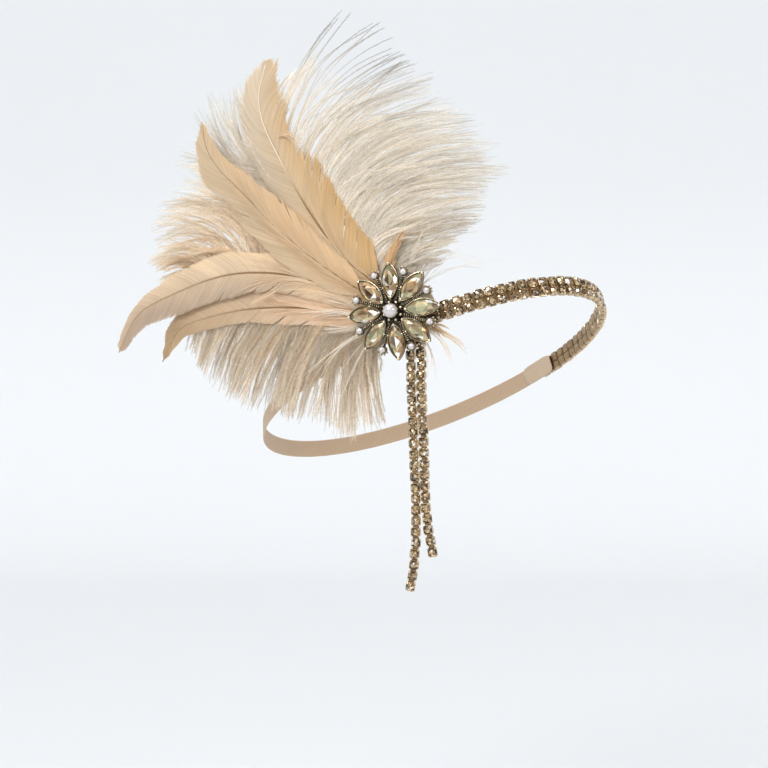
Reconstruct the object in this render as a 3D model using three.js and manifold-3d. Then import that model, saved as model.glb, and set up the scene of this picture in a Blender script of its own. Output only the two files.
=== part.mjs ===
// Flapper headband: a rhinestone band with a feathered brooch at the right temple.
// Millimetres, +Z up, +X the wearer's front, +Y the wearer's left. The origin is the middle of the head loop.

import * as THREE from "three";
import { mergeVertices } from "three/addons/utils/BufferGeometryUtils.js";
import Module from "manifold-3d";

const wasm = await Module();
wasm.setup();

const rad = THREE.MathUtils.degToRad;
const lerp = THREE.MathUtils.lerp;

// The gap that neighbouring pieces keep, and the distance at which points are one
const CLEAR = 0.3;
const MERGE = 1e-4;

// The head loop: an oval in plan whose height rises to the front and to the right
const LOOP_HALF_LENGTH = 91;
const LOOP_HALF_WIDTH = 72;
const LOOP_PITCH_DEG = 24;
const LOOP_ROLL_DEG = -6;
const FOREHEAD_SLOPE_DEG = 22;
const FOREHEAD_SLOPE_POWER = 4;

// What lies next to the head: the pad and tab first, the band and the elastic over them
const BACKING_IN = 0.4;
const BACKING_OUT = 1.6;
const BAND_CLEAR = 0.45;
const BAND_OUT = BACKING_OUT + BAND_CLEAR;

// Rhinestone cup chain
const CHAIN_PITCH = 5.2;
const CUP_SIZE = 4.4;
const CUP_FLAT = 2.2;
const CUP_DEPTH = 2.5;
const STONE_RISE = 1.0;
const STONE_TABLE = 0.58;
const ROW_GAP = 0.4;
const ROW_SPACING = CUP_SIZE + ROW_GAP;
const BAND_FROM_DEG = -63;
const BAND_TO_DEG = 74;

// Elastic and the tab that joins it to the band
const ELASTIC_WIDTH = 9;
const ELASTIC_THICK = 0.8;
const ELASTIC_FROM_DEG = 75.2;
const ELASTIC_TO_DEG = 288;
const ELASTIC_STEPS = 26;
const TAB_FROM_DEG = 69;
const TAB_TO_DEG = 81;
const TAB_STEPS = 3;
const TAB_WIDTH = 10;

// The brooch's seat on the loop; its own frame is x forward, y up and z outward
const SEAT_DEG = -67.8;
const SEAT_RISE = 7.3;
const PAD_RADIUS = 17;
const PAD_SPAN_DEG = 20;
const PAD_STEPS = 8;
const PAD_SIDES = 24;

// Brooch metal
const POST_RADIUS = 3;
const FRAME_BACK = 9.8;
const PLATE_RADIUS = 8;
const PLATE_TOP = 12.4;
const PLATE_SIDES = 16;
const PETAL_COUNT = 8;
const PETAL_START_DEG = 6.5;
const PETAL_RADIUS = 14.5;
const PETAL_HEIGHT = 13.1;
const PETAL_DIP_DEG = 6;
const PETAL_STEPS = 5;
const TRAY_HALF_LENGTH = 8.9;
const TRAY_HALF_WIDTH = 4.2;
const TRAY_BOTTOM = -2.4;
const TRAY_FLOOR = -1.9;
const TRAY_RIM = 0.5;
const TRAY_WALL = 0.4;
const ARM_RADIUS = 0.8;
const ARM_HEIGHT = 11.6;
const ARM_FROM = 6;
const ARM_SIDES = 6;
const TIP_CUP_RADIUS = 1.9;
const TIP_CUP_HEIGHT = 2;
const TIP_SIDES = 8;

// Stones and pearls
const PETAL_TABLE = 0.6;
const PETAL_CROWN = 1.5;
const PETAL_KEEL = -1.4;
const PETAL_KEEL_SCALE = 0.35;
const PEARL_RADIUS = 3.45;
const PEARL_SIDES = 16;
const PEARL_RINGS = 10;
const PEARL_HEIGHT = 17;
const PEARL_CUP_RADIUS = 3.1;
const PEARL_CUP_TOP = 15.4;
const ACCENT_RADIUS = 1.75;
const ACCENT_SIDES = 10;
const ACCENT_RINGS = 6;
const ACCENT_REACH = 19;
const ACCENT_HEIGHT = 13.6;

// Feathers lie on a fan behind the brooch that bends in round the head; each has its level and its tip's lift
const FAN_BEND = 0.0012;
const FAN_REACH = 150;
const VANE_HALF_THICK = 0.35;
const SHAFT_RISE = 0.55;
const SHAFT_HALF_WIDTH = 0.8;
const SHAFT_TIP_SCALE = 0.35;
const FEATHER_STEPS = 18;

// Plumes: a round shaft with flat locks, which lie in turn in front of it and behind it
const PLUME_SHAFT_RADIUS = 0.95;
const PLUME_SHAFT_SIDES = 6;
const PLUME_SHAFT_STEPS = 10;
const LOCK_HALF_THICK = 0.45;
const LOCK_STEPS = 5;
const LOCK_STAGGER = 0.5;
const LOCK_TIP_THICK = 0.5;
const LOCK_SWELL = [0.12, 0.97];

// Each feather's shaft from the brooch outwards (x, y), and its half widths at distances along that shaft;
// left and right are seen looking from the brooch to the tip
const FEATHERS = [
  {
    name: "feather_upright", level: 7.2, lift: 7, colour: 0xdcae86,
    shaft: [
      [-2.2, 3], [-9.7, 12.2], [-26.6, 25.5], [-43.4, 46],
      [-59.4, 72], [-70.6, 94.6], [-72, 107], [-67.5, 122.2],
    ],
    widths: [
      { at: 0, left: 0.8, right: 0.8 },
      { at: 13, left: 1.5, right: 3 },
      { at: 30, left: 6, right: 16 },
      { at: 43, left: 10, right: 21 },
      { at: 60, left: 13, right: 17 },
      { at: 82, left: 14.5, right: 16.5 },
      { at: 94, left: 14, right: 10 },
      { at: 108, left: 13.4, right: 11 },
      { at: 122, left: 11.5, right: 13 },
      { at: 134, left: 9.4, right: 9.4 },
      { at: 144, left: 2.5, right: 2.5 },
    ],
  },
  {
    name: "feather_middle", level: 8.6, lift: 10, colour: 0xd9a87e,
    shaft: [
      [-3.2, 1.8], [-10.7, 5.6], [-36, 21.4], [-61.7, 41],
      [-82.7, 61], [-94.5, 72], [-101.3, 82], [-103.7, 95.2],
    ],
    widths: [
      { at: 0, left: 0.8, right: 0.8 },
      { at: 12, left: 1.5, right: 1.5 },
      { at: 35, left: 9, right: 9 },
      { at: 65, left: 12.5, right: 11.4 },
      { at: 82, left: 12, right: 10.5 },
      { at: 100, left: 8.6, right: 8.5 },
      { at: 116, left: 11, right: 6.5 },
      { at: 130, left: 6.6, right: 4.8 },
      { at: 141, left: 0.5, right: 0.5 },
    ],
  },
  {
    name: "feather_upper_left", level: 7.2, lift: 5, colour: 0xdcb08a,
    shaft: [
      [-3.7, 0.8], [-18.9, 4.4], [-40, 13.9], [-61.4, 19.4],
      [-92, 20], [-124.7, 12], [-150, 1.6], [-163.8, -17.4],
    ],
    widths: [
      { at: 0, left: 0.8, right: 0.8 },
      { at: 15, left: 2, right: 1.5 },
      { at: 45, left: 8, right: 7 },
      { at: 75, left: 9.5, right: 10 },
      { at: 92, left: 11.5, right: 12 },
      { at: 124, left: 11.3, right: 10.2 },
      { at: 140, left: 10, right: 7.5 },
      { at: 155, left: 7.5, right: 5 },
      { at: 167, left: 4.8, right: 4.2 },
      { at: 176, left: 1.5, right: 1.5 },
    ],
  },
  {
    name: "feather_lower_left", level: 5.8, lift: 1, colour: 0xd2a680,
    shaft: [
      [-3.9, -0.6], [-16.9, -2.7], [-51.7, 2.7], [-80.4, 2.9],
      [-105, -0.5], [-124.6, -6.6], [-136.2, -22.3],
    ],
    widths: [
      { at: 0, left: 0.8, right: 0.8 },
      { at: 20, left: 3.5, right: 3 },
      { at: 55, left: 8.7, right: 9 },
      { at: 85, left: 6.5, right: 10 },
      { at: 112, left: 5.8, right: 10 },
      { at: 128, left: 4.4, right: 7 },
      { at: 142, left: 0.5, right: 0.5 },
    ],
  },
  {
    name: "tuft_feather", level: 7.2, lift: 0, colour: 0xe0a060,
    shaft: [[-0.4, 3.8], [-1.6, 14], [-1, 25], [2.4, 37]],
    widths: [
      { at: 0, left: 0.7, right: 0.7 },
      { at: 12, left: 1.6, right: 1.6 },
      { at: 22, left: 3.4, right: 2.4 },
      { at: 34, left: 0.4, right: 0.4 },
    ],
  },
];

// Each plume's shaft, and its locks: root along the shaft (0 to 1), tip (x, y), bow to the side, half width,
// and how far the tip stands out of the fan
const PLUMES = [
  {
    name: "plume_upright", level: 4, lift: 3, colour: 0xe6d6ca,
    shaft: [[-1.1, 3.25], [-14, 24], [-30, 45], [-47, 67], [-62, 90], [-70, 106]],
    locks: [
      { root: 0.08, tip: [25, 31], bow: 5, half: 5.5, splay: 12 },
      { root: 0.14, tip: [36, 43], bow: 8, half: 7.5, splay: -6 },
      { root: 0.22, tip: [49, 56], bow: 11, half: 7.5, splay: 13 },
      { root: 0.32, tip: [51, 67], bow: 13, half: 9, splay: -7 },
      { root: 0.42, tip: [42, 83], bow: 13, half: 9, splay: 14 },
      { root: 0.52, tip: [28, 97], bow: 13, half: 9, splay: -7 },
      { root: 0.62, tip: [16, 111], bow: 12, half: 9, splay: 14 },
      { root: 0.72, tip: [0, 125], bow: 10, half: 9, splay: -7 },
      { root: 0.82, tip: [-20, 146], bow: 8, half: 7.5, splay: 12 },
      { root: 0.92, tip: [-46, 128], bow: 5, half: 7.5, splay: -5 },
      { root: 0.7, tip: [-84, 114], bow: 8, half: 7.5, splay: 2 },
      { root: 0.62, tip: [-95, 114], bow: 14, half: 9, splay: -8 },
      { root: 0.54, tip: [-108, 109], bow: 17, half: 9, splay: 2 },
      { root: 0.46, tip: [-119, 97], bow: 6, half: 9, splay: -9 },
      { root: 0.42, tip: [-128, 75], bow: -10, half: 9, splay: 3 },
    ],
  },
  {
    name: "plume_left", level: 4, lift: 0, colour: 0xe2d0c3,
    shaft: [[-3.3, -1.1], [-20, -3], [-53, 7], [-81, 10], [-106, 13], [-127, 19]],
    locks: [
      { root: 0.26, tip: [-106, 57], bow: -8, half: 9, splay: -4 },
      { root: 0.38, tip: [-128, 58], bow: -12, half: 9, splay: -7 },
      { root: 0.5, tip: [-143, 51], bow: -13, half: 9, splay: -3 },
      { root: 0.66, tip: [-147, 37], bow: -10, half: 7.5, splay: -6 },
      { root: 0.8, tip: [-141, 18], bow: -3, half: 9, splay: 0.5 },
      { root: 0.7, tip: [-121, -20], bow: -6, half: 9, splay: -7 },
      { root: 0.58, tip: [-113, -31], bow: -6, half: 9, splay: 3 },
      { root: 0.47, tip: [-100, -37], bow: -6, half: 9, splay: -8 },
      { root: 0.37, tip: [-87, -44], bow: -6, half: 9, splay: 9 },
      { root: 0.28, tip: [-72, -48], bow: -6, half: 9, splay: -8 },
      { root: 0.2, tip: [-55, -52], bow: -6, half: 9, splay: 11 },
      { root: 0.13, tip: [-39, -56], bow: -5, half: 9, splay: -8 },
      { root: 0.09, tip: [-21, -63], bow: -4, half: 7.5, splay: 11 },
      { root: 0.06, tip: [-8, -54], bow: -3, half: 5.5, splay: -6 },
    ],
  },
];

// Where each strand's stones hang (x, y), from the pad down
const STRANDS = [
  {
    name: "strand_long", turnDeg: 8,
    line: [[5.4, -15.5], [5.8, -34], [7.2, -68], [8, -95], [7, -118], [4.8, -131]],
  },
  {
    name: "strand_short", turnDeg: 6,
    line: [[10.6, -14.5], [10.8, -34], [12.1, -68], [13.1, -95], [16.2, -114]],
  },
];

// Finishes
function finish(color, roughness, metalness) {
  return new THREE.MeshStandardMaterial({ color, roughness, metalness });
}

const chainFinish = finish(0xb08d5c, 0.25, 0.8);
const elasticFinish = finish(0xd8c2a4, 0.85, 0);
const feltFinish = finish(0xd9c4a8, 0.95, 0);
const antiqueFinish = finish(0x5a4c38, 0.4, 0.9);
const crystalFinish = finish(0xe8d3ac, 0.05, 0.1);
const pearlFinish = finish(0xf5efe6, 0.2, 0.1);

// Closed solids from rings of points: every ring has the same number of points, and the ends are capped
function loft(rings) {
  const sides = rings[0].length;
  const points = rings.flat();
  const faces = [];
  for (let ring = 0; ring + 1 < rings.length; ring++) {
    for (let side = 0; side < sides; side++) {
      const next = (side + 1) % sides;
      const low = ring * sides;
      const high = low + sides;
      faces.push(low + side, low + next, high + next, low + side, high + next, high + side);
    }
  }
  for (const [ring, flip] of [[0, true], [rings.length - 1, false]]) {
    const middle = new THREE.Vector3();
    rings[ring].forEach((point) => middle.addScaledVector(point, 1 / sides));
    points.push(middle);
    for (let side = 0; side < sides; side++) {
      const here = ring * sides + side;
      const next = ring * sides + ((side + 1) % sides);
      faces.push(points.length - 1, flip ? next : here, flip ? here : next);
    }
  }
  return solidGeometry(points, faces);
}

function solidGeometry(points, faces) {
  const geometry = new THREE.BufferGeometry().setFromPoints(points);
  geometry.setIndex(faces);
  geometry.computeVertexNormals();
  return geometry;
}

// Joining and cutting
function toManifold(geometry) {
  const bare = new THREE.BufferGeometry();
  bare.setAttribute("position", geometry.getAttribute("position"));
  bare.setIndex(geometry.getIndex());
  const merged = mergeVertices(bare, MERGE);
  return new wasm.Manifold(new wasm.Mesh({
    numProp: 3,
    vertProperties: new Float32Array(merged.getAttribute("position").array),
    triVerts: new Uint32Array(merged.getIndex().array),
  }));
}

function toGeometry(solid) {
  const mesh = solid.getMesh();
  const geometry = new THREE.BufferGeometry();
  geometry.setAttribute("position", new THREE.BufferAttribute(mesh.vertProperties, 3));
  geometry.setIndex(new THREE.BufferAttribute(mesh.triVerts, 1));
  geometry.computeVertexNormals();
  return geometry;
}

function fuse(geometries) {
  return geometries.map(toManifold).reduce((whole, solid) => whole.add(solid));
}

function addMesh(group, name, geometry, material) {
  const mesh = new THREE.Mesh(geometry, material);
  mesh.name = name;
  group.add(mesh);
  return mesh;
}

// A point of the head loop's plan at an angle, and the level direction outward there
function loopPlan(degrees) {
  const angle = rad(degrees);
  const plan = new THREE.Vector3(LOOP_HALF_LENGTH * Math.cos(angle), LOOP_HALF_WIDTH * Math.sin(angle), 0);
  const out = new THREE.Vector3(plan.x / LOOP_HALF_LENGTH ** 2, plan.y / LOOP_HALF_WIDTH ** 2, 0).normalize();
  return { plan, out };
}

// The frame of the head loop at an angle: a point on the head, and the directions along, outward and across
function loopFrame(degrees, away) {
  const angle = rad(degrees);
  const { plan, out } = loopPlan(degrees);
  const rise = Math.tan(rad(LOOP_PITCH_DEG));
  const roll = Math.tan(rad(LOOP_ROLL_DEG));
  const along = new THREE.Vector3(
    -LOOP_HALF_LENGTH * Math.sin(angle),
    LOOP_HALF_WIDTH * Math.cos(angle),
    -rise * LOOP_HALF_LENGTH * Math.sin(angle) + roll * LOOP_HALF_WIDTH * Math.cos(angle),
  );
  const stretch = along.length();
  along.normalize();
  const slope = rad(FOREHEAD_SLOPE_DEG) * Math.max(Math.cos(angle), 0) ** FOREHEAD_SLOPE_POWER;
  const normal = out.clone().multiplyScalar(Math.cos(slope)).setZ(Math.sin(slope));
  normal.addScaledVector(along, -normal.dot(along)).normalize();
  const across = new THREE.Vector3().crossVectors(normal, along);
  const point = plan.setZ(rise * plan.x + roll * plan.y).addScaledVector(normal, away);
  return { point, along, normal, across, stretch };
}

// Angles of stones set one pitch apart along the loop
function loopSteps(fromDeg, toDeg, pitch) {
  const angles = [];
  for (let degrees = fromDeg; degrees <= toDeg;) {
    angles.push(degrees);
    degrees += THREE.MathUtils.radToDeg(pitch / loopFrame(degrees, 0).stretch);
  }
  return angles;
}

// A chain of eight-sided cups, each with a faceted stone, joined by links from flat to flat
function chainGeometry(frames) {
  const half = CUP_SIZE / 2;
  const flat = CUP_FLAT / 2;
  const outline = [
    [half, -flat], [half, flat], [flat, half], [-flat, half],
    [-half, flat], [-half, -flat], [-flat, -half], [flat, -half],
  ];
  const sides = outline.length;
  const levels = [
    { height: 0, scale: 1 },
    { height: CUP_DEPTH, scale: 1 },
    { height: CUP_DEPTH + STONE_RISE, scale: STONE_TABLE },
  ];
  const points = [];
  const faces = [];
  const quad = (a, b, c, d) => faces.push(a, b, c, a, c, d);
  frames.forEach(({ point, along, normal, across }, index) => {
    const base = points.length;
    for (const { height, scale } of levels) {
      for (const [forward, sideways] of outline) {
        points.push(point.clone()
          .addScaledVector(along, forward * scale)
          .addScaledVector(across, sideways * scale)
          .addScaledVector(normal, height));
      }
    }
    for (let side = 1; side + 1 < sides; side++) {
      faces.push(base, base + side + 1, base + side);
      faces.push(base + 2 * sides, base + 2 * sides + side, base + 2 * sides + side + 1);
    }
    for (let side = 0; side < sides; side++) {
      const next = (side + 1) % sides;
      const linked = (side === 0 && index + 1 < frames.length) || (side === 4 && index > 0);
      if (!linked) {
        quad(base + side, base + next, base + sides + next, base + sides + side);
      }
      quad(base + sides + side, base + sides + next, base + 2 * sides + next, base + 2 * sides + side);
    }
    if (index > 0) {
      const last = base - levels.length * sides;
      const from = [last, last + 1, last + sides + 1, last + sides];
      const to = [base + 5, base + 4, base + sides + 4, base + sides + 5];
      for (let corner = 0; corner < 4; corner++) {
        const next = (corner + 1) % 4;
        quad(from[corner], from[next], to[next], to[corner]);
      }
    }
  });
  return solidGeometry(points, faces);
}

// A flat strip along the loop, between two angles
function loopStrip(fromDeg, toDeg, steps, inner, outer, width) {
  const rings = [];
  for (let step = 0; step <= steps; step++) {
    const degrees = lerp(fromDeg, toDeg, step / steps);
    const { point, normal, across } = loopFrame(degrees, 0);
    const corner = (away, sideways) => {
      return point.clone().addScaledVector(normal, away).addScaledVector(across, sideways);
    };
    rings.push([
      corner(inner, -width / 2), corner(inner, width / 2),
      corner(outer, width / 2), corner(outer, -width / 2),
    ]);
  }
  return loft(rings);
}

// The band round the forehead and the elastic round the back
function addBand(group) {
  const angles = loopSteps(BAND_FROM_DEG, BAND_TO_DEG, CHAIN_PITCH);
  const rows = [["band_row_upper", ROW_SPACING / 2], ["band_row_lower", -ROW_SPACING / 2]];
  for (const [name, shift] of rows) {
    const frames = angles.map((degrees) => {
      const frame = loopFrame(degrees, BAND_OUT);
      frame.point.addScaledVector(frame.across, shift);
      return frame;
    });
    addMesh(group, name, chainGeometry(frames), chainFinish);
  }
  const elastic = loopStrip(
    ELASTIC_FROM_DEG, ELASTIC_TO_DEG, ELASTIC_STEPS, BAND_OUT, BAND_OUT + ELASTIC_THICK, ELASTIC_WIDTH,
  );
  addMesh(group, "back_elastic", elastic, elasticFinish);
  const tab = loopStrip(TAB_FROM_DEG, TAB_TO_DEG, TAB_STEPS, BACKING_IN, BACKING_OUT, TAB_WIDTH);
  addMesh(group, "end_tab", tab, feltFinish);
}

// The felt pad: a disc cut from an upright wall that follows the loop's plan
function padGeometry(seat) {
  const rings = [];
  for (let step = 0; step <= PAD_STEPS; step++) {
    const degrees = SEAT_DEG + lerp(-PAD_SPAN_DEG, PAD_SPAN_DEG, step / PAD_STEPS);
    const { plan, out } = loopPlan(degrees);
    const corner = (away, height) => plan.clone().addScaledVector(out, away).setZ(height);
    const low = seat.position.z - 2 * PAD_RADIUS;
    const high = seat.position.z + 2 * PAD_RADIUS;
    rings.push([
      corner(BACKING_IN, low), corner(BACKING_IN, high),
      corner(BACKING_OUT, high), corner(BACKING_OUT, low),
    ]);
  }
  const wall = loft(rings).applyMatrix4(seat.matrix.clone().invert());
  const disc = upright(PAD_RADIUS, -PAD_RADIUS, PAD_RADIUS, PAD_SIDES);
  return toGeometry(toManifold(wall).intersect(toManifold(disc)));
}

// A pointed oval with two equal arcs, as points anticlockwise from its outer end
function marquise(halfLength, halfWidth, height) {
  const radius = (halfLength ** 2 + halfWidth ** 2) / (2 * halfWidth);
  const reach = Math.asin(halfLength / radius);
  const points = [];
  for (const side of [1, -1]) {
    for (let step = 0; step < PETAL_STEPS; step++) {
      const turn = lerp(reach, -reach, step / PETAL_STEPS);
      const x = side * radius * Math.sin(turn);
      const y = side * (radius * Math.cos(turn) - radius + halfWidth);
      points.push(new THREE.Vector3(x, y, height));
    }
  }
  return points;
}

function petalMatrix(index) {
  const spin = new THREE.Matrix4().makeRotationZ(rad(PETAL_START_DEG + (360 / PETAL_COUNT) * index));
  const reach = new THREE.Matrix4().makeTranslation(PETAL_RADIUS, 0, PETAL_HEIGHT);
  const dip = new THREE.Matrix4().makeRotationY(rad(PETAL_DIP_DEG));
  return spin.multiply(reach).multiply(dip);
}

function armMatrix(index) {
  return new THREE.Matrix4().makeRotationZ(rad(PETAL_START_DEG + (360 / PETAL_COUNT) * (index + 0.5)));
}

function upright(radius, low, high, sides) {
  return new THREE.CylinderGeometry(radius, radius, high - low, sides)
    .rotateX(Math.PI / 2)
    .translate(0, 0, (low + high) / 2);
}

function ball(radius, sides, rings) {
  return new THREE.SphereGeometry(radius, sides, rings).rotateX(Math.PI / 2);
}

// The soldered metal: a post to the pad, a plate, petal trays, and arms that end in small cups
function frameGeometry() {
  let metal = fuse([
    upright(POST_RADIUS, BACKING_OUT + CLEAR, FRAME_BACK + 1, PLATE_SIDES),
    upright(PLATE_RADIUS, FRAME_BACK, PLATE_TOP, PLATE_SIDES),
    upright(PEARL_CUP_RADIUS, FRAME_BACK, PEARL_CUP_TOP, PLATE_SIDES),
  ]);
  const cupLow = ARM_HEIGHT - ARM_RADIUS;
  for (let index = 0; index < PETAL_COUNT; index++) {
    const tray = loft([
      marquise(TRAY_HALF_LENGTH, TRAY_HALF_WIDTH, TRAY_BOTTOM),
      marquise(TRAY_HALF_LENGTH, TRAY_HALF_WIDTH, TRAY_RIM),
    ]).applyMatrix4(petalMatrix(index));
    const arm = upright(ARM_RADIUS, ARM_FROM, ACCENT_REACH, ARM_SIDES)
      .rotateY(Math.PI / 2)
      .translate(0, 0, ARM_HEIGHT)
      .applyMatrix4(armMatrix(index));
    const cup = upright(TIP_CUP_RADIUS, cupLow, cupLow + TIP_CUP_HEIGHT, TIP_SIDES)
      .translate(ACCENT_REACH, 0, 0)
      .applyMatrix4(armMatrix(index));
    metal = [tray, arm, cup].map(toManifold).reduce((whole, solid) => whole.add(solid), metal);
  }
  for (let index = 0; index < PETAL_COUNT; index++) {
    const length = TRAY_HALF_LENGTH - 2 * TRAY_WALL;
    const width = TRAY_HALF_WIDTH - TRAY_WALL;
    const pocket = loft([
      marquise(length, width, TRAY_FLOOR), marquise(length, width, TRAY_RIM + PETAL_CROWN),
    ]).applyMatrix4(petalMatrix(index));
    const hollow = ball(ACCENT_RADIUS + CLEAR, TIP_SIDES, TIP_SIDES / 2)
      .translate(ACCENT_REACH, 0, ACCENT_HEIGHT)
      .applyMatrix4(armMatrix(index));
    metal = metal.subtract(toManifold(pocket)).subtract(toManifold(hollow));
  }
  const pearlHollow = ball(PEARL_RADIUS + CLEAR, PLATE_SIDES, PLATE_SIDES / 2).translate(0, 0, PEARL_HEIGHT);
  return toGeometry(metal.subtract(toManifold(pearlHollow)));
}

// A marquise-cut stone: keel, girdle, crown facets and table
function petalStoneGeometry() {
  const length = TRAY_HALF_LENGTH - 2 * TRAY_WALL - 2 * CLEAR;
  const width = TRAY_HALF_WIDTH - TRAY_WALL - CLEAR;
  return loft([
    marquise(length * PETAL_KEEL_SCALE, width * PETAL_KEEL_SCALE, PETAL_KEEL),
    marquise(length, width, 0),
    marquise(length * PETAL_TABLE, width * PETAL_TABLE, PETAL_CROWN),
  ]);
}

function addBrooch(group) {
  addMesh(group, "brooch_frame", frameGeometry(), antiqueFinish);
  const centre = addMesh(group, "centre_pearl", ball(PEARL_RADIUS, PEARL_SIDES, PEARL_RINGS), pearlFinish);
  centre.position.z = PEARL_HEIGHT;
  for (let index = 0; index < PETAL_COUNT; index++) {
    const stone = addMesh(group, `petal_stone_${index + 1}`, petalStoneGeometry(), crystalFinish);
    stone.applyMatrix4(petalMatrix(index));
    const bead = ball(ACCENT_RADIUS, ACCENT_SIDES, ACCENT_RINGS);
    const pearl = addMesh(group, `accent_pearl_${index + 1}`, bead, pearlFinish);
    pearl.position.set(ACCENT_REACH, 0, ACCENT_HEIGHT).applyMatrix4(armMatrix(index));
  }
}

// The height of the fan over the seat, at a place behind the brooch
function fanHeight(x, y, level, lift) {
  return level + lift * (Math.hypot(x, y) / FAN_REACH) ** 2 - FAN_BEND * Math.min(x, 0) ** 2;
}

function smoothCurve(points, height) {
  const corners = points.map(([x, y]) => new THREE.Vector3(x, y, height));
  return new THREE.CatmullRomCurve3(corners, false, "centripetal");
}

// Half widths at a distance along a shaft, between the rows of its table
function widthsAt(rows, distance) {
  const next = Math.max(1, rows.findIndex((row) => row.at >= distance));
  const [low, high] = [rows[next - 1], rows[next]];
  const share = THREE.MathUtils.smoothstep(distance, low.at, high.at);
  return { left: lerp(low.left, high.left, share), right: lerp(low.right, high.right, share) };
}

// A trimmed feather: a thin vane with its shaft as a ridge along it
function featherGeometry({ level, lift, shaft, widths }) {
  const curve = smoothCurve(shaft, 0);
  const reach = widths[widths.length - 1].at;
  const rings = [];
  for (let step = 0; step <= FEATHER_STEPS; step++) {
    const share = step / FEATHER_STEPS;
    const point = curve.getPointAt(share);
    const tangent = curve.getTangentAt(share);
    const { left, right } = widthsAt(widths, share * reach);
    const quill = SHAFT_HALF_WIDTH * lerp(1, SHAFT_TIP_SCALE, share);
    const rise = VANE_HALF_THICK + SHAFT_RISE * lerp(1, SHAFT_TIP_SCALE, share);
    const corner = (sideways, height) => {
      const x = point.x - tangent.y * sideways;
      const y = point.y + tangent.x * sideways;
      return new THREE.Vector3(x, y, fanHeight(x, y, level, lift) + height);
    };
    const inner = Math.min(quill, left, right);
    rings.push([
      corner(-right, -VANE_HALF_THICK), corner(-right, VANE_HALF_THICK), corner(-inner, VANE_HALF_THICK),
      corner(0, rise), corner(inner, VANE_HALF_THICK), corner(left, VANE_HALF_THICK),
      corner(left, -VANE_HALF_THICK), corner(0, -VANE_HALF_THICK),
    ]);
  }
  return loft(rings.map((ring) => ring.reverse()));
}

// A plume: a tapered round shaft, and flat locks that leave it, arch over and end in points
function plumeGeometry({ level, lift, shaft, locks }) {
  const curve = smoothCurve(shaft, 0);
  const onFan = (x, y, height) => new THREE.Vector3(x, y, fanHeight(x, y, level, lift) + height);
  const shaftRings = [];
  for (let step = 0; step <= PLUME_SHAFT_STEPS; step++) {
    const share = step / PLUME_SHAFT_STEPS;
    const point = curve.getPointAt(share);
    const tangent = curve.getTangentAt(share);
    const radius = PLUME_SHAFT_RADIUS * lerp(1, SHAFT_TIP_SCALE, share);
    const ring = [];
    for (let side = 0; side < PLUME_SHAFT_SIDES; side++) {
      const turn = (2 * Math.PI * side) / PLUME_SHAFT_SIDES;
      const x = point.x - tangent.y * radius * Math.cos(turn);
      const y = point.y + tangent.x * radius * Math.cos(turn);
      ring.push(onFan(x, y, radius * Math.sin(turn)));
    }
    shaftRings.push(ring);
  }
  const lockSolids = locks.map(({ root, tip, bow, half, splay }, index) => {
    const from = curve.getPointAt(root);
    const to = new THREE.Vector3(tip[0], tip[1], 0);
    const lean = to.clone().sub(from).normalize();
    const handle = from.clone().lerp(to, 0.5).addScaledVector(new THREE.Vector3(-lean.y, lean.x, 0), 2 * bow);
    const path = new THREE.QuadraticBezierCurve3(from, handle, to);
    const stagger = LOCK_STAGGER * (index % 2 === 0 ? 1 : -1);
    const rings = [];
    for (let step = 0; step <= LOCK_STEPS; step++) {
      const share = step / LOCK_STEPS;
      const point = path.getPoint(share);
      const tangent = path.getTangent(share);
      const width = half * Math.sin(Math.PI * lerp(...LOCK_SWELL, share));
      const thick = LOCK_HALF_THICK * lerp(1, LOCK_TIP_THICK, share);
      const stand = stagger + splay * share ** 3;
      const corner = (sideways, height) => {
        return onFan(point.x - tangent.y * sideways, point.y + tangent.x * sideways, stand + height);
      };
      rings.push([corner(width, 0), corner(0, thick), corner(-width, 0), corner(0, -thick)]);
    }
    return loft(rings);
  });
  return toGeometry(fuse([loft(shaftRings), ...lockSolids]));
}

function addFeathers(group) {
  for (const feather of FEATHERS) {
    addMesh(group, feather.name, featherGeometry(feather), finish(feather.colour, 0.7, 0));
  }
  for (const plume of PLUMES) {
    addMesh(group, plume.name, plumeGeometry(plume), finish(plume.colour, 0.9, 0));
  }
}

// The hanging strands: their first stones lie on the pad, and they turn a little to the front as they hang
function addStrands(group) {
  for (const { name, line, turnDeg } of STRANDS) {
    const path = smoothCurve(line, BAND_OUT);
    const count = Math.floor(path.getLength() / CHAIN_PITCH) + 1;
    const frames = [];
    for (let index = 0; index < count; index++) {
      const share = (index * CHAIN_PITCH) / path.getLength();
      const along = path.getTangentAt(share);
      const turn = rad(turnDeg) * share;
      const normal = new THREE.Vector3(Math.sin(turn), 0, Math.cos(turn));
      normal.addScaledVector(along, -normal.dot(along)).normalize();
      const across = new THREE.Vector3().crossVectors(normal, along);
      frames.push({ point: path.getPointAt(share), along, normal, across });
    }
    addMesh(group, name, chainGeometry(frames), chainFinish);
  }
}

// The whole headband
const headband = new THREE.Group();
addBand(headband);

const seat = new THREE.Group();
const seatOut = loopPlan(SEAT_DEG).out;
seat.position.copy(loopFrame(SEAT_DEG, 0).point).add(new THREE.Vector3(0, 0, SEAT_RISE));
seat.rotation.set(Math.PI / 2, 0, Math.atan2(seatOut.x, -seatOut.y), "ZXY");
seat.updateMatrix();
headband.add(seat);
addMesh(seat, "felt_pad", padGeometry(seat), feltFinish);
addBrooch(seat);
addStrands(seat);
addFeathers(seat);

export default headband;
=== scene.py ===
"""Dresses the fixed frame of a flapper headband: stone chain, brooch, feathers, plumes, elastic and stage."""

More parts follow.
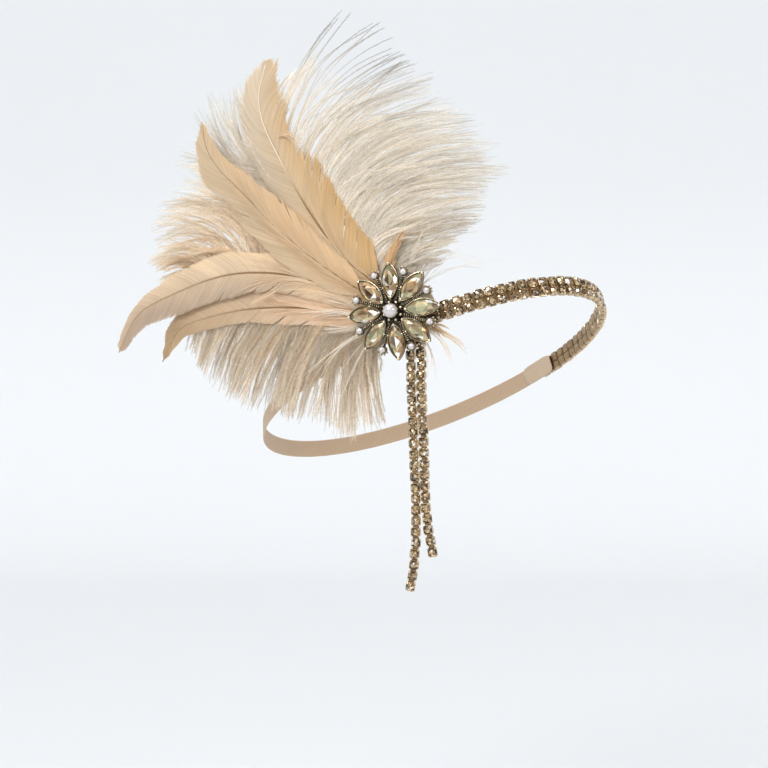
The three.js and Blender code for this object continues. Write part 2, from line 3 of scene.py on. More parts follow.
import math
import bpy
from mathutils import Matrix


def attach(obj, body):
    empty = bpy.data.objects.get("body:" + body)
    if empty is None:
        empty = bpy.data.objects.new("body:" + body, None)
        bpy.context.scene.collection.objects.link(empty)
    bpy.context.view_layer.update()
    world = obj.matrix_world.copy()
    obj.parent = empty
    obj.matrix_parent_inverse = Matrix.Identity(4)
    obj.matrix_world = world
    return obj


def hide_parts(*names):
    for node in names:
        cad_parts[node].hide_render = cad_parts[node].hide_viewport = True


bl_info = {
    "name": "Flapper headband",
    "version": (1, 0, 0),
    "blender": (4, 5, 0),
    "location": "View3D > Sidebar > Headband",
    "description": "Builds the looks of a rhinestone headband with a feathered brooch on its fixed frame",
    "category": "Object",
}

import bpy
import numpy as np
from bpy.props import FloatProperty, FloatVectorProperty, IntProperty, PointerProperty
from bpy.types import Operator, Panel, PropertyGroup
from mathutils import Vector

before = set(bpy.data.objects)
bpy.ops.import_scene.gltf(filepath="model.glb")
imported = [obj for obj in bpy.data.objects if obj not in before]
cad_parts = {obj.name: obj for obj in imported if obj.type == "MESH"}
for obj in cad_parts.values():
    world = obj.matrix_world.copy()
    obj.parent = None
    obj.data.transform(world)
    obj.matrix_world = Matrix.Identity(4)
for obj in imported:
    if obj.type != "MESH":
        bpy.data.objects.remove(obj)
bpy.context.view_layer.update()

# Shapes are worked out in millimetres and become metres when a piece is made
MM = 0.001
BODY = "root"

# Sharp-edge angle at which a piece is smooth all over
ALL_SMOOTH = 180.0

# Which fall of tilts and facets the stones have
BAND_SEEDS = (21, 22)
STRAND_SEED = 31
BROOCH_SEED = 41

# Points along a smooth curve, and those worked out between two of its corners
CURVE_POINTS = 300
CORNER_POINTS = 60

# Straight up, which is outward in the frames of the brooch, its petals and the cups
UP = np.array([0.0, 0.0, 1.0])

# How far out of the loop's line lie the two faces of the pad and tab, and the backs of the band and elastic
BACKING_IN = 0.4
BACKING_OUT = 1.6
BAND_OUT = 2.05

# A higher power keeps the lean of the band nearer to the front
FOREHEAD_POWER = 4

# Where the band, the elastic and the tab start and end on the loop, in degrees from the front
BAND_SPAN = (-63.0, 74.0)
ELASTIC_SPAN = (75.2, 288.0)
TAB_SPAN = (69.0, 81.0)
TAB_HALF_WIDTH = 5.0
TAB_CORNER = 6.0

# Elastic: steps along it, points for each rib, the ribs' level and rise as shares of the thickness from its
# middle, and how near to its edges it thins out
ELASTIC_STEPS = 240
RIB_POINTS = 6
RIB_LEVEL = 0.38
RIB_RISE = 0.12
EDGE_POWER = 16

# Felt: points round a piece, rings on each face and the scales of the first and the last, and its rounded rim
FELT_SIDES = 48
FELT_RINGS = 7
FELT_SCALES = (0.12, 0.94)
RIM_SCALE = 0.985
RIM_ROUND = 0.2

# The brooch's seat on the loop; its own frame is x forward, y up and z outward
SEAT_DEG = -67.8
SEAT_RISE = 7.3
PAD_RADIUS = 17.0
# How far to each side of the seat the pad may bend with the loop, in degrees, and in how many steps
PAD_SWEEP_DEG = 22.0
PAD_STEPS = 89

# Cup of the stone chain from its back to its floor: scale of its outline, height, polish; the low
# polish inside the cup paints shade in its recess
CUP_CORNER = 7.0
CUP_SIDES = 24
CUP_PROFILE = (
    (0.80, 0.00, 0.35), (0.95, 0.12, 0.50), (0.99, 0.40, 0.60), (1.00, 1.90, 0.65), (1.02, 2.42, 0.80),
    (1.01, 2.52, 0.90), (0.965, 2.53, 0.80), (0.93, 2.20, 0.05), (0.80, 1.75, 0.00),
)
# Prong of a cup: outer reach and height, inner reach and height, half width
PRONG_SECTIONS = (
    (2.80, 1.90, 2.45, 1.90, 0.46), (2.76, 2.64, 2.42, 2.58, 0.42),
    (2.50, 3.10, 2.22, 2.90, 0.36), (1.95, 3.30, 1.90, 3.10, 0.24),
)
LINK_HALF_WIDTH = 1.3
LINK_HEIGHTS = (0.2, 1.6)
LINK_INSET = 0.9
# Links keep a low polish, so they take the dark metal colour: painted shade between the cups
LINK_PAINTED_SHADE_POLISH = 0.05
CUP_TILT_DEG = 4.0

# Heights of a chain stone's culet, girdle and table, the scales of the last two, and how square the stone is
CHAIN_LEVELS = (1.6, 2.42, 3.4)
CHAIN_SCALES = (0.97, 0.58)
STONE_CORNER = 5.0

# Sides of a stone's table
STONE_SIDES = 8

# Shares of a stone's facets, and the depth of colour that each share reaches; the dark and bright
# facets are painted reflections in the cut glass
CHAIN_TONES = ((0.0, 0.38, 0.66, 1.0), (0.0, 0.08, 0.65, 1.0))
PETAL_TONES = ((0.0, 0.4, 0.75, 1.0), (0.0, 0.14, 0.5, 1.0))
# Marks of a facet from which it flashes in a colour, and from which it is white: painted flashes and
# painted glints
FLASH_FROM = 0.74
PAINTED_GLINT_FROM = 0.93
PAINTED_GLINT_COLOUR = (1.0, 0.98, 0.94, 1.0)

# Sides of the brooch's round parts; of its pearls, sides and rings
POST_SIDES = 32
ROD_SIDES = 8
ACCENT_CUP_SIDES = 16
ACCENT_FACES = (20, 14)
PEARL_FACES = (40, 28)
# How polished the prongs and beads by the small pearls are, and every second bead of the ring
PRONG_POLISH = 0.3
BEAD_POLISH = 0.75
RING_POLISH = 0.9
# A pearl is a little out of round
PEARL_STRETCH = (1.0, 0.99, 0.985)

# Brooch sizes
PETALS = 8
PETAL_START_DEG = 6.5
PETAL_RADIUS = 14.5
PETAL_HEIGHT = 13.1
PETAL_DIP_DEG = 6.0
TRAY_HALF = (8.9, 4.2)
STONE_HALF = (8.1, 3.78)
# Half the length of the keel that shows through a petal stone, and how far it stands out
KEEL_HALF = 2.8
KEEL_RISE = 0.25
# Heights of a petal stone's culet, girdle, belt and table, and the scales of the last two
PETAL_LEVELS = (-1.4, 0.05, 0.85, 1.5)
PETAL_SCALES = (0.84, 0.6)
# How much more often the facets of each petal flash green and peach
PETAL_FLASHES = (
    (0.25, -0.3), (0.0, 0.1), (0.15, -0.1), (-0.2, 0.2),
    (-0.1, 0.05), (0.15, -0.05), (-0.1, 0.15), (0.0, -0.1),
)
ARM_HEIGHT = 11.9
ACCENT_REACH = 19.0
ACCENT_HEIGHT = 13.6
ACCENT_RADIUS = 1.65
PEARL_HEIGHT = 17.0
PEARL_RADIUS = 3.45

# Petal tray from its back to its floor: scale of its outline, height, polish
TRAY_PROFILE = (
    (0.80, -2.40, 0.05), (0.94, -2.25, 0.05), (0.985, -1.60, 0.05), (0.99, 0.10, 0.10), (1.00, 0.42, 0.45),
    (0.985, 0.58, 0.75), (0.96, 0.60, 0.75), (0.935, 0.48, 0.50), (0.925, -0.20, 0.0), (0.91, -1.80, 0.0),
)
TRAY_SIDES = 36
# Claws of a petal tray: place, radius, polish and stretch
TRAY_CLAWS = (
    ((8.0, 0.0, 0.75), 0.72, 0.95, (1.25, 0.8, 0.7)),
    ((-8.0, 0.0, 0.75), 0.72, 0.95, (1.25, 0.8, 0.7)),
    ((-3.4, 3.5, 0.62), 0.5, 0.9, (1.0, 1.0, 0.8)),
    ((-3.4, -3.5, 0.62), 0.5, 0.9, (1.0, 1.0, 0.8)),
)
# The brooch's post and plate, and the cup of a small pearl: radius, height, polish
POST_PROFILE = (
    (2.2, 1.9, 0.3), (3.0, 2.2, 0.4), (3.0, 9.5, 0.2), (7.4, 9.8, 0.2), (8.0, 10.2, 0.3), (8.0, 12.0, 0.2),
    (7.6, 12.4, 0.3), (5.0, 12.5, 0.05), (3.5, 12.6, 0.05), (3.1, 13.4, 0.3), (3.15, 15.0, 0.7),
    (2.9, 15.4, 0.9), (2.4, 14.6, 0.1),
)
ACCENT_CUP = ((1.1, 10.9, 0.1), (1.9, 11.2, 0.2), (2.0, 12.4, 0.4), (1.85, 12.9, 0.9), (1.5, 12.6, 0.2))
# Beads across an arm: how many, where the first lies, their pitch, rise over the arm, radius and stretch
ARM_BEADS = 11
ARM_BEAD_START = 6.2
ARM_BEAD_PITCH = 1.05
ARM_BEAD_RISE = 1.3
ARM_BEAD_RADIUS = 0.95
ARM_BEAD_STRETCH = (0.27, 1.0, 1.0)
# The rod under them: its radius, where it starts and ends, and its rise over the arm
ROD_RADIUS = 0.7
ROD_SPAN = (5.0, 18.0)
ROD_RISE = 0.4
# Prongs and beads round a small pearl: radius, reach and height, the prongs' stretch and the beads' turns
SMALL_BEAD_RADIUS = 0.5
ACCENT_PRONG = (1.7, 13.9)
ACCENT_PRONG_STRETCH = (1.0, 1.0, 1.7)
ACCENT_BEAD = (2.4, 12.4)
ACCENT_BEAD_TURNS = (-1.3, -0.65, 0.0, 0.65, 1.3)
# Ring of beads round the middle pearl, of which every other one is bright
RING_BEADS = 16
RING_REACH = 4.4
RING_HEIGHT = 14.0
RING_BEAD_RADIUS = 0.78

# Feathers lie on a fan behind the brooch that bends in round the loop
FAN_BEND = 0.0012
FAN_REACH = 150.0

# The share of a shaft where its vane starts, the length of shaft whose barbs cling together, the greatest
# length of a barb to the side, and the length of shaft over which a split fades
VANE_FROM = 0.03
BUNDLE_LENGTH = 5.0
WIDEST = 30.0
SPLIT_FADE = 5.0
# Distance from the shaft at which an edge has bent back by its whole bend
BEND_AT = 12.0
# A higher power opens a split nearer to the edge
SPLIT_POWER = 1.7
# How far raggedness turns and lengthens barbs, bundle by bundle and one by one
RAGGED_TURN = (0.018, 0.02)
RAGGED_REACH = (0.028, 0.018)
# Edges are worn more from this share of the shaft, over this share of it, by this much
WORN_FROM = 0.85
WORN_OVER = 0.1
WORN_MORE = 3.0
# The share of barbs that stray past the edge, and the greatest share of their length by which they do
STRAY_SHARE = 0.14
STRAY_REACH = 0.16
# How unlike in tint bundles are, and single barbs
BUNDLE_TINT = 0.5
BARB_TINT = 0.7
# Barbs of a vane: points along each, how much of its run bends to the tip, half width and scatter of the
# roots as shares of their spacing, how far they lean back, and how unlike in height they are
VANE_STEPS = 9
VANE_CURVE = 0.25
VANE_COVER = 0.8
VANE_SCATTER = 0.15
VANE_LEAN = 0.1
VANE_UNEVEN = 0.05
# Widths tried to find how far a barb reaches, and the least it may reach
WIDTH_TRIES = 601
LEAST_REACH = 0.1
# Shares of its width that a barb has near its tip, and at its last point, past this share of its length
VANE_TAPER = 0.6
VANE_POINT = 0.25
POINT_FROM = 0.99
# Loose barbs: points along each, the share of the shaft where they start, their turn from it, their length as
# a share of it, how far they lie and stand over the vane, their tint, half their width, and how much of that
# is left at the tip
LOOSE_STEPS = 11
LOOSE_FROM = 0.02
LOOSE_TURN_DEG = (3.0, 15.0)
LOOSE_LENGTH = (0.12, 0.3)
LOOSE_LEVEL = 0.25
LOOSE_STAND = 0.9
LOOSE_TINT = (-1.5, 2.5)
LOOSE_HALF = 0.13
LOOSE_TAPER = 0.3
# Shafts: steps along, the share of their line at which they end, how soon they thin out, sides, thickness as
# a share of their width, and how far they stand over the vane
STEM_STEPS = 70
STEM_END = 0.99
STEM_POWER = 0.7
STEM_SIDES = 8
STEM_THICKNESS = 0.8
STEM_RISE = 0.1
# Half widths of a feather's and a plume's shaft, at the brooch and at the tip
FEATHER_STEM = (0.65, 0.2)
PLUME_STEM = (0.8, 0.2)
# Barbs lie closer to the shaft from this share of it to the tip, down to this share of their angle
TIP_FROM = 0.88
TIP_CLOSING = 0.3

# Shares of a shaft between which its colour changes from that of its base to that of its tip
QUILL_FROM = 0.45
QUILL_TO = 0.7

# Steps along a plume's locks in which its barbs are shared out, and where on the shaft they may start
LOCK_STEPS = 400
PLUME_FROM = 0.02
# How streaky a plume is, and how much light comes through its barbs
PLUME_STREAK = 0.13
PLUME_THROUGH = 0.46
# Points along a plume's barb, how much more it bends near its tip, half its width in a plume and a wisp, and
# how much of that is left at the tip
BARB_STEPS = 13
BARB_DROOP = -0.2
BARB_HALF = 0.14
WISP_HALF = 0.13
BARB_TAPER = 0.35
# Shares of their whole length that short bunches, long ones and the barbs of one bunch have
SHORT_BUNCH = (0.4, 0.93)
LONG_BUNCH = (0.96, 1.05)
BUNCH_BARB = (0.9, 1.0)
# How much bunches arch, and how far they stand out of the fan: mean and spread
BUNCH_ARCH = (1.0, 0.2)
BUNCH_STAND = (-0.5, 2.2)
# How far the barbs of a bunch scatter at their roots, in their bow and out of the fan, how much of the stand
# of their lock they have, and how many waves they make
ROOT_SCATTER = 0.012
BOW_SCATTER = 0.1
STAND_SCATTER = 1.2
LOCK_STAND = 0.8
BARB_WAVES = 1.4
# Shares of long bunches in front and behind, and how far the tips behind lie under those in front
LONG_IN_FRONT = 0.8
LONG_BEHIND = 0.2
BEHIND_DROP = -1.5
# How far the tips of a bunch keep to locks of their own, and how far they scatter
TIP_APART = 0.25
TIP_SCATTER = 1.1
# How far a barb's tip is dyed, from least to most
DYE_REACH = (0.3, 1.3)
# Barbules: half the width of their foot, the shares of the barb that they cover, their slant along it, how
# far their directions scatter, and how much shorter they are at the tip
BARBULE_HALF = 0.115
BARBULE_SPAN = (0.04, 0.98)
BARBULE_SLANT = 1.3
BARBULE_SCATTER = 0.45
BARBULE_TAPER = 0.35
# Wisps: pairs of barbules on a barb and their length, the length of barbs as a share of the bunch's, how far
# they scatter at the start as a share of their spread, in their bow and in height
WISP_PAIRS = 60
WISP_BARBULES = (0.4, 1.1)
WISP_LENGTH = (0.6, 1.0)
WISP_START = 0.3
WISP_BOW = 0.3
WISP_UNEVEN = 0.8
# Barbs whose tips lie above these heights, and before these places, are dyed darker and darkest
DARK_FROM = 95.0
DARK_TO = 135.0
DARK_BEHIND = -80.0
DARK_BEFORE = -50.0
# Shares of its whole length between which a shortened barb is dyed darker
DARK_SHORT = 0.75
DARK_LONG = 0.95
# A higher power keeps the dye nearer to a barb's tip
DYE_POWER = 2
# Barbs are painted paler as their tips lie higher, up to this height: painted light from above, and
# painted shade on the lower barbs
PAINTED_LIGHT_TINT = 1.75
PAINTED_LIGHT_HEIGHT = 70.0
# How far the roots of a bunch spread, in locks, how far a barb sways, and how much darker its spine is than
# its fluff
BUNCH_SPREAD = 0.3
BARB_SWAY = 0.8
SPINE_TINT = -3.0

# Each feather: level and lift of its tip over the fan, how far its edges bend back, the angle of its barbs at
# the base and the tip, how ragged its edges are, its loose barbs (how many, up to which share of the shaft),
# its dyes at the base and the tip, the dye of its shaft's tip, how much more of the tip's dye its left side
# has as painted light and shade between its two sides, its shaft (x, y), its half widths (distance along,
# left, right), and its splits (distance along, side, opening); left and right are seen looking from the
# brooch to the tip
FEATHERS = {
    "feather_upright": {
        "level": 7.2, "lift": 7.0, "bend": (2.6, 2.2), "angles": (42.0, 26.0),
        "fray": 1.4, "loose": (70, 0.3),
        "dyes": ("warm", "pale"), "quill": "shaft_pale", "lit": 0.5,
        "shaft": (
            (-2.2, 3.0), (-9.7, 12.2), (-26.6, 25.5), (-43.4, 46.0),
            (-59.4, 72.0), (-70.6, 94.6), (-72.0, 107.0), (-67.5, 122.2),
        ),
        "widths": (
            (0, 0.8, 0.8), (13, 1.5, 3.0), (30, 6.0, 16.0), (43, 10.0, 21.0), (60, 13.0, 17.0),
            (82, 14.5, 16.5), (94, 14.0, 10.0), (108, 13.4, 11.0), (122, 11.5, 13.0), (134, 9.4, 9.4),
            (140, 7.0, 7.2), (143, 4.6, 5.0), (144.5, 0.05, 0.05),
        ),
        "splits": (
            (36, "right", 0.7), (47, "right", 0.9), (56, "right", 0.8), (64, "right", 0.7),
            (72, "right", 0.6), (79, "right", 0.5), (128, "right", 0.5), (134, "left", 0.4),
            (60, "left", 0.3),
        ),
    },
    "feather_middle": {
        "level": 8.6, "lift": 10.0, "bend": (1.2, 2.0), "angles": (26.0, 22.0),
        "fray": 0.7, "loose": (170, 0.6),
        "dyes": ("honey", "sand"), "quill": "shaft_tip", "lit": 0.5,
        "shaft": (
            (-3.2, 1.8), (-10.7, 5.6), (-36.0, 21.4), (-61.7, 41.0),
            (-82.7, 61.0), (-94.5, 72.0), (-101.3, 82.0), (-103.7, 95.2),
        ),
        "widths": (
            (0, 0.8, 0.8), (12, 1.5, 1.5), (35, 9.0, 9.0), (65, 12.5, 11.4), (82, 12.0, 10.5),
            (100, 8.6, 8.5), (116, 11.0, 6.5), (130, 6.6, 4.8), (137, 3.2, 2.4), (141.5, 0.05, 0.05),
        ),
        "splits": (
            (86, "left", 3.0), (74, "left", 2.2), (30, "right", 1.4), (42, "right", 1.8), (52, "right", 1.5),
            (78, "right", 1.0),
        ),
    },
    "feather_upper_left": {
        "level": 7.2, "lift": 5.0, "bend": (1.4, 2.4), "angles": (46.0, 34.0),
        "fray": 0.3, "loose": (110, 0.25),
        "dyes": ("cream", "blush"), "quill": "shaft_tip", "lit": 0.3,
        "shaft": (
            (-3.7, 0.8), (-18.9, 4.4), (-40.0, 13.9), (-61.4, 19.4),
            (-92.0, 20.0), (-124.7, 12.0), (-150.0, 1.6), (-163.8, -17.4),
        ),
        "widths": (
            (0, 0.8, 0.8), (15, 3.6, 3.4), (30, 7.4, 6.0), (45, 9.0, 7.0), (75, 9.5, 10.0), (92, 11.5, 12.0),
            (124, 11.3, 10.2), (140, 10.0, 7.5), (155, 7.5, 5.0), (167, 4.8, 4.2), (173, 3.4, 3.2),
            (176.3, 0.05, 0.05),
        ),
        "splits": ((58, "left", 2.2), (66, "left", 1.2), (34, "right", 1.2), (104, "left", 0.5)),
    },
    "feather_lower_left": {
        "level": 5.8, "lift": 1.0, "bend": (1.2, 1.4), "angles": (40.0, 28.0),
        "fray": 0.35, "loose": (110, 0.3),
        "dyes": ("rose", "shade"), "quill": "shaft_tip", "lit": 0.0,
        "shaft": (
            (-3.9, -0.6), (-16.9, -2.7), (-51.7, 2.7), (-80.4, 2.9),
            (-105.0, -0.5), (-124.6, -6.6), (-136.2, -22.3),
        ),
        "widths": (
            (0, 0.8, 0.8), (12, 3.4, 3.6), (22, 5.4, 6.2), (38, 7.4, 8.0), (55, 8.7, 9.0), (85, 6.5, 10.0),
            (112, 5.8, 10.0), (128, 4.4, 7.0), (137, 2.2, 2.8), (142.3, 0.05, 0.05),
        ),
        "splits": ((52, "left", 1.8), (36, "left", 1.2), (70, "left", 0.5)),
    },
    "tuft_feather": {
        "level": 7.2, "lift": 0.0, "bend": (0.3, 0.3), "angles": (16.0, 12.0),
        "fray": 4.0, "loose": (240, 0.8),
        "dyes": ("orange", "honey"), "quill": "shaft_tip", "lit": 0.0,
        "shaft": ((-0.4, 3.8), (-3.6, 14.0), (-3.6, 25.0), (2.4, 37.0)),
        "widths": ((0, 0.7, 0.7), (12, 1.5, 1.5), (22, 2.3, 2.4), (30, 1.5, 1.4), (34.5, 0.05, 0.05)),
        "splits": ((14, "right", 0.6),),
    },
}

# Each plume: level and lift, the least and greatest length of its barbules, its colours behind (darker, as
# painted shade among the strands), at the root and at the tips, its shaft, its locks (root along the shaft,
# tip x and y, bow to the side, how far the tip stands out of the fan), and how full it is at each lock
PLUMES = {
    "plume_upright": {
        "level": 4.0, "lift": 3.0, "barbules": (0.6, 1.5),
        "dyes": ("upright_under_shade", "upright_root", "upright_tip"),
        "shaft": ((-1.1, 3.25), (-14.0, 24.0), (-30.0, 45.0), (-47.0, 67.0), (-62.0, 90.0), (-70.0, 106.0)),
        "locks": (
            (0.05, 22, 21, 4, 5), (0.08, 27, 31, 5, 10), (0.14, 38, 43, 8, -6), (0.22, 49, 56, 11, 13),
            (0.32, 51, 67, 13, -7), (0.42, 42, 83, 13, 14), (0.52, 28, 97, 13, -7), (0.62, 16, 111, 12, 14),
            (0.72, 0, 125, 10, -7), (0.82, -20, 146, 8, 12), (0.92, -46, 128, 5, -5), (0.70, -84, 114, 8, 2),
            (0.62, -95, 114, 14, -8), (0.54, -108, 109, 17, 2), (0.46, -119, 97, 6, -9),
            (0.42, -128, 75, -10, 3),
        ),
        "fullness": (0.5, 0.7, 1.0, 1.3, 1.3, 1.2, 1.0, 0.7, 0.42, 0.22, 0.12, 0.3, 0.9, 1.1, 1.2, 1.5),
    },
    "plume_left": {
        "level": 4.0, "lift": 0.0, "barbules": (0.8, 2.1),
        "dyes": ("left_under_shade", "left_root", "left_tip"),
        "shaft": ((-3.3, -1.1), (-20.0, -3.0), (-53.0, 7.0), (-81.0, 10.0), (-106.0, 13.0), (-127.0, 19.0)),
        "locks": (
            (0.40, -112, 76, -13, 4), (0.52, -128, 68, -18, -7), (0.64, -142, 54, -20, 4),
            (0.74, -147, 40, -17, -6), (0.81, -145, 28, -10, 2), (0.86, -140, 18, -5, 0.5),
            (0.70, -121, -20, -6, -7), (0.58, -113, -31, -6, 3), (0.47, -100, -37, -6, -8),
            (0.37, -87, -44, -6, 9), (0.28, -72, -48, -6, -8), (0.20, -55, -52, -6, 11),
            (0.13, -39, -56, -5, -8), (0.09, -21, -63, -4, 11), (0.06, -8, -54, -3, -6),
        ),
        "fullness": (1.2, 1.3, 1.2, 1.1, 1.0, 0.7, 0.9, 1.1, 1.2, 1.3, 1.3, 1.3, 1.3, 1.2, 0.7),
    },
}

# Loose wisps round the brooch: where each bunch starts and ends (x, y), its bow to the side, its level over
# the fan at the start and the end, how many barbs it has, how far they spread, and how pale they are
WISPS = (
    (15.0, -8.0, 34.4, -16.5, 1.5, 6.5, 5.0, 7, 1.6, 0.35),
    (15.0, -9.0, 29.0, -27.0, 2.5, 6.5, 5.0, 4, 1.8, 0.7),
    (12.0, -12.0, 17.5, -34.0, 2.0, 6.0, 4.0, 5, 1.5, 0.8),
    (14.0, -6.0, 25.0, -11.0, 1.0, 6.5, 6.0, 12, 2.2, 0.1),
    (9.0, 12.0, 29.0, 42.0, 3.0, 6.5, 9.0, 7, 2.2, 1.0),
    (8.0, 13.0, 14.0, 39.0, 2.0, 6.5, 8.0, 6, 1.8, 1.0),
    (10.0, 11.0, 58.0, 25.0, 9.0, 6.0, 4.0, 4, 1.8, 0.95),
    (10.0, 12.0, 36.0, 34.0, 4.0, 6.0, 8.0, 5, 2.5, 1.0),
    (-14.0, -4.0, -55.0, 0.5, -2.5, 9.0, 8.0, 9, 1.6, 0.95),
    (-14.0, -5.0, -45.0, -8.0, 1.5, 9.0, 7.0, 12, 1.5, 0.85),
    (-18.0, 1.0, -46.0, 10.0, -1.0, 8.0, 8.6, 14, 1.8, 0.6),
    (-12.0, -9.0, -56.0, -44.0, -3.0, 8.5, 7.0, 5, 3.0, 0.9),
    (-10.0, -10.0, -36.0, -48.0, -2.0, 8.5, 7.0, 4, 3.0, 0.9),
    (-36.0, -4.5, -48.7, -20.7, -2.0, 8.5, 8.0, 6, 0.9, 0.45),
    (-62.0, 86.0, -50.0, 80.0, 3.0, 11.5, 11.0, 6, 1.6, 0.5),
    (-78.0, 5.5, -58.0, 14.5, -0.4, 9.4, 9.4, 5, 1.4, 0.5),
)

# Where each strand's stones hang (x, y), from the pad down, and how far the strand turns to the front
STRANDS = {
    "strand_long": {
        "turn": 8.0,
        "line": ((5.4, -15.5), (5.8, -34.0), (7.2, -68.0), (8.0, -95.0), (7.0, -118.0), (4.8, -131.0)),
    },
    "strand_short": {
        "turn": 6.0,
        "line": ((10.6, -14.5), (10.8, -34.0), (12.1, -68.0), (13.1, -95.0), (16.2, -114.0)),
    },
}

# Backdrop paper, in metres: its front edge, the wall behind, the bend between, its top and half its width
PAPER_FRONT = -3.0
PAPER_WALL = 2.2
PAPER_BEND = 0.7
PAPER_TOP = 4.0
PAPER_HALF_WIDTH = 3.5
# Points round the bend of the paper, and how dark its darker patches are
BEND_POINTS = 24
PAPER_SHADE = 0.985

# Width of the camera's sensor, in millimetres
SENSOR_WIDTH = 36.0

# The main light's place in steps ahead, to the right and up; small lamps likewise, with their sizes
KEY_PLACE = (-0.9, -0.6, 0.9)
KEY_SPREAD_DEG = 35.0
GLINTS = {
    "glint_left": ((-1.0, -0.7, 0.7), 0.16),
    "glint_right": ((-1.0, 0.9, 0.5), 0.16),
    "glint_top": ((-0.5, 0.2, 1.1), 0.2),
}

# Light from all round: its tint, its clouds and its small bright panes, with the noise from which each starts
# to where it is full, and how bright the clouds are there
ROOM_TINT = (0.95, 0.97, 1.0, 1.0)
CLOUD_SCALE = 2.2
CLOUD_NOISE = (0.36, 0.64)
CLOUD_LIGHT = (0.3, 1.7)
PANE_SCALE = 4.0
PANE_NOISE = (0.70, 0.74)


# Sizes and colours that a user would change

def colour_property(name, description, default):
    """A colour that a user may change."""
    return FloatVectorProperty(name=name, description=description, default=default, subtype="COLOR")


def length_property(name, description, default):
    """A length in metres that a user may change."""
    return FloatProperty(name=name, description=description, default=default, unit="LENGTH")


def angle_property(name, description, degrees):
    """An angle that a user may change."""
    return FloatProperty(name=name, description=description, default=math.radians(degrees), subtype="ANGLE")


class HeadbandLoop(PropertyGroup):
    """The oval that the headband makes."""

    half_length: length_property("Half length", "From the middle of the loop to its front", 0.091)
    half_width: length_property("Half width", "From the middle of the loop to its side", 0.072)
    pitch: angle_property("Pitch", "How far the loop rises to the front", 24)
    roll: angle_property("Roll", "How far the loop rises to the left", -6)
    forehead: angle_property("Forehead slope", "How far the band leans back at the front", 22)


class HeadbandChain(PropertyGroup):
    """The stone chain of the band and the strands."""

    pitch: length_property("Pitch", "From one stone to the next", 0.0052)
    cup: length_property("Cup size", "Width of a cup", 0.0044)
    row_gap: length_property("Row gap", "Gap between the two rows of the band", 0.0004)
    bright: colour_property("Gold", "Polished metal", (0.76, 0.58, 0.36))
    # The dark end of the chain's metal: tarnish, and painted shade in the cups and between them
    dark: colour_property("Tarnish and painted shade", "Metal in the recesses", (0.17, 0.10, 0.045))
    # Facets are painted between the deep and pale colours as reflections in the glass, with painted flashes
    # and glints
    stone_deep: colour_property("Deep stone", "Darkest facets", (0.055, 0.028, 0.010))
    stone_pale: colour_property("Pale stone", "Brightest facets", (0.88, 0.66, 0.37))
    stone_green: colour_property("Dim flash", "Cool flash of some facets", (0.34, 0.27, 0.17))
    stone_peach: colour_property("Peach flash", "Warm flash of some facets", (0.45, 0.25, 0.10))


class HeadbandBrooch(PropertyGroup):
    """The jewelled flower at the temple."""

    bright: colour_property("Rubbed metal", "Raised edges and beads", (0.82, 0.71, 0.51))
    dark: colour_property("Antiqued metal", "Metal in the recesses", (0.008, 0.006, 0.004))
    # Facets are painted between the deep and pale colours as reflections in the glass, with painted flashes
    # and glints
    stone_deep: colour_property("Deep stone", "Darkest facets", (0.09, 0.045, 0.016))
    stone_pale: colour_property("Pale stone", "Brightest facets", (0.86, 0.69, 0.39))
    stone_green: colour_property("Green flash", "Cool flash of some facets", (0.40, 0.44, 0.245))
    stone_peach: colour_property("Peach flash", "Warm flash of some facets", (0.55, 0.27, 0.10))
    pearl: colour_property("Pearl", "Body colour of the pearls", (0.68, 0.665, 0.65))


class HeadbandFeathers(PropertyGroup):
    """The trimmed feathers."""

    spacing: length_property("Barb spacing", "Distance between barbs along the shaft", 0.0004)
    warm: colour_property("Warm dye", "Upright feather near the brooch", (0.66, 0.44, 0.21))
    honey: colour_property("Honey dye", "Middle feather near the brooch", (0.76, 0.54, 0.32))
    pale: colour_property("Pale dye", "Tip of the upright feather", (0.72, 0.595, 0.44))
    sand: colour_property("Sand dye", "Tip of the middle feather", (0.69, 0.54, 0.36))
    cream: colour_property("Cream dye", "Left feather near the brooch", (0.95, 0.75, 0.50))
    blush: colour_property("Blush dye", "Tip of the left feather", (0.55, 0.42, 0.31))
    rose: colour_property("Rose dye", "Lowest feather near the brooch", (0.96, 0.74, 0.535))
    shade: colour_property("Shaded dye", "Tip of the lowest feather", (0.50, 0.35, 0.20))
    orange: colour_property("Orange dye", "Tuft", (0.80, 0.48, 0.19))
    gold: colour_property("Golden dye", "Wisps", (0.72, 0.47, 0.20))
    shaft_base: colour_property("Shaft base", "Shafts near the brooch", (0.30, 0.17, 0.07))
    shaft_tip: colour_property("Shaft tip", "Shafts near their tips", (0.46, 0.31, 0.17))
    shaft_pale: colour_property("Pale shaft", "Upright feather's shaft near its tip", (0.93, 0.80, 0.62))
    seed: IntProperty(name="Seed", description="Which fall of barbs", default=11)


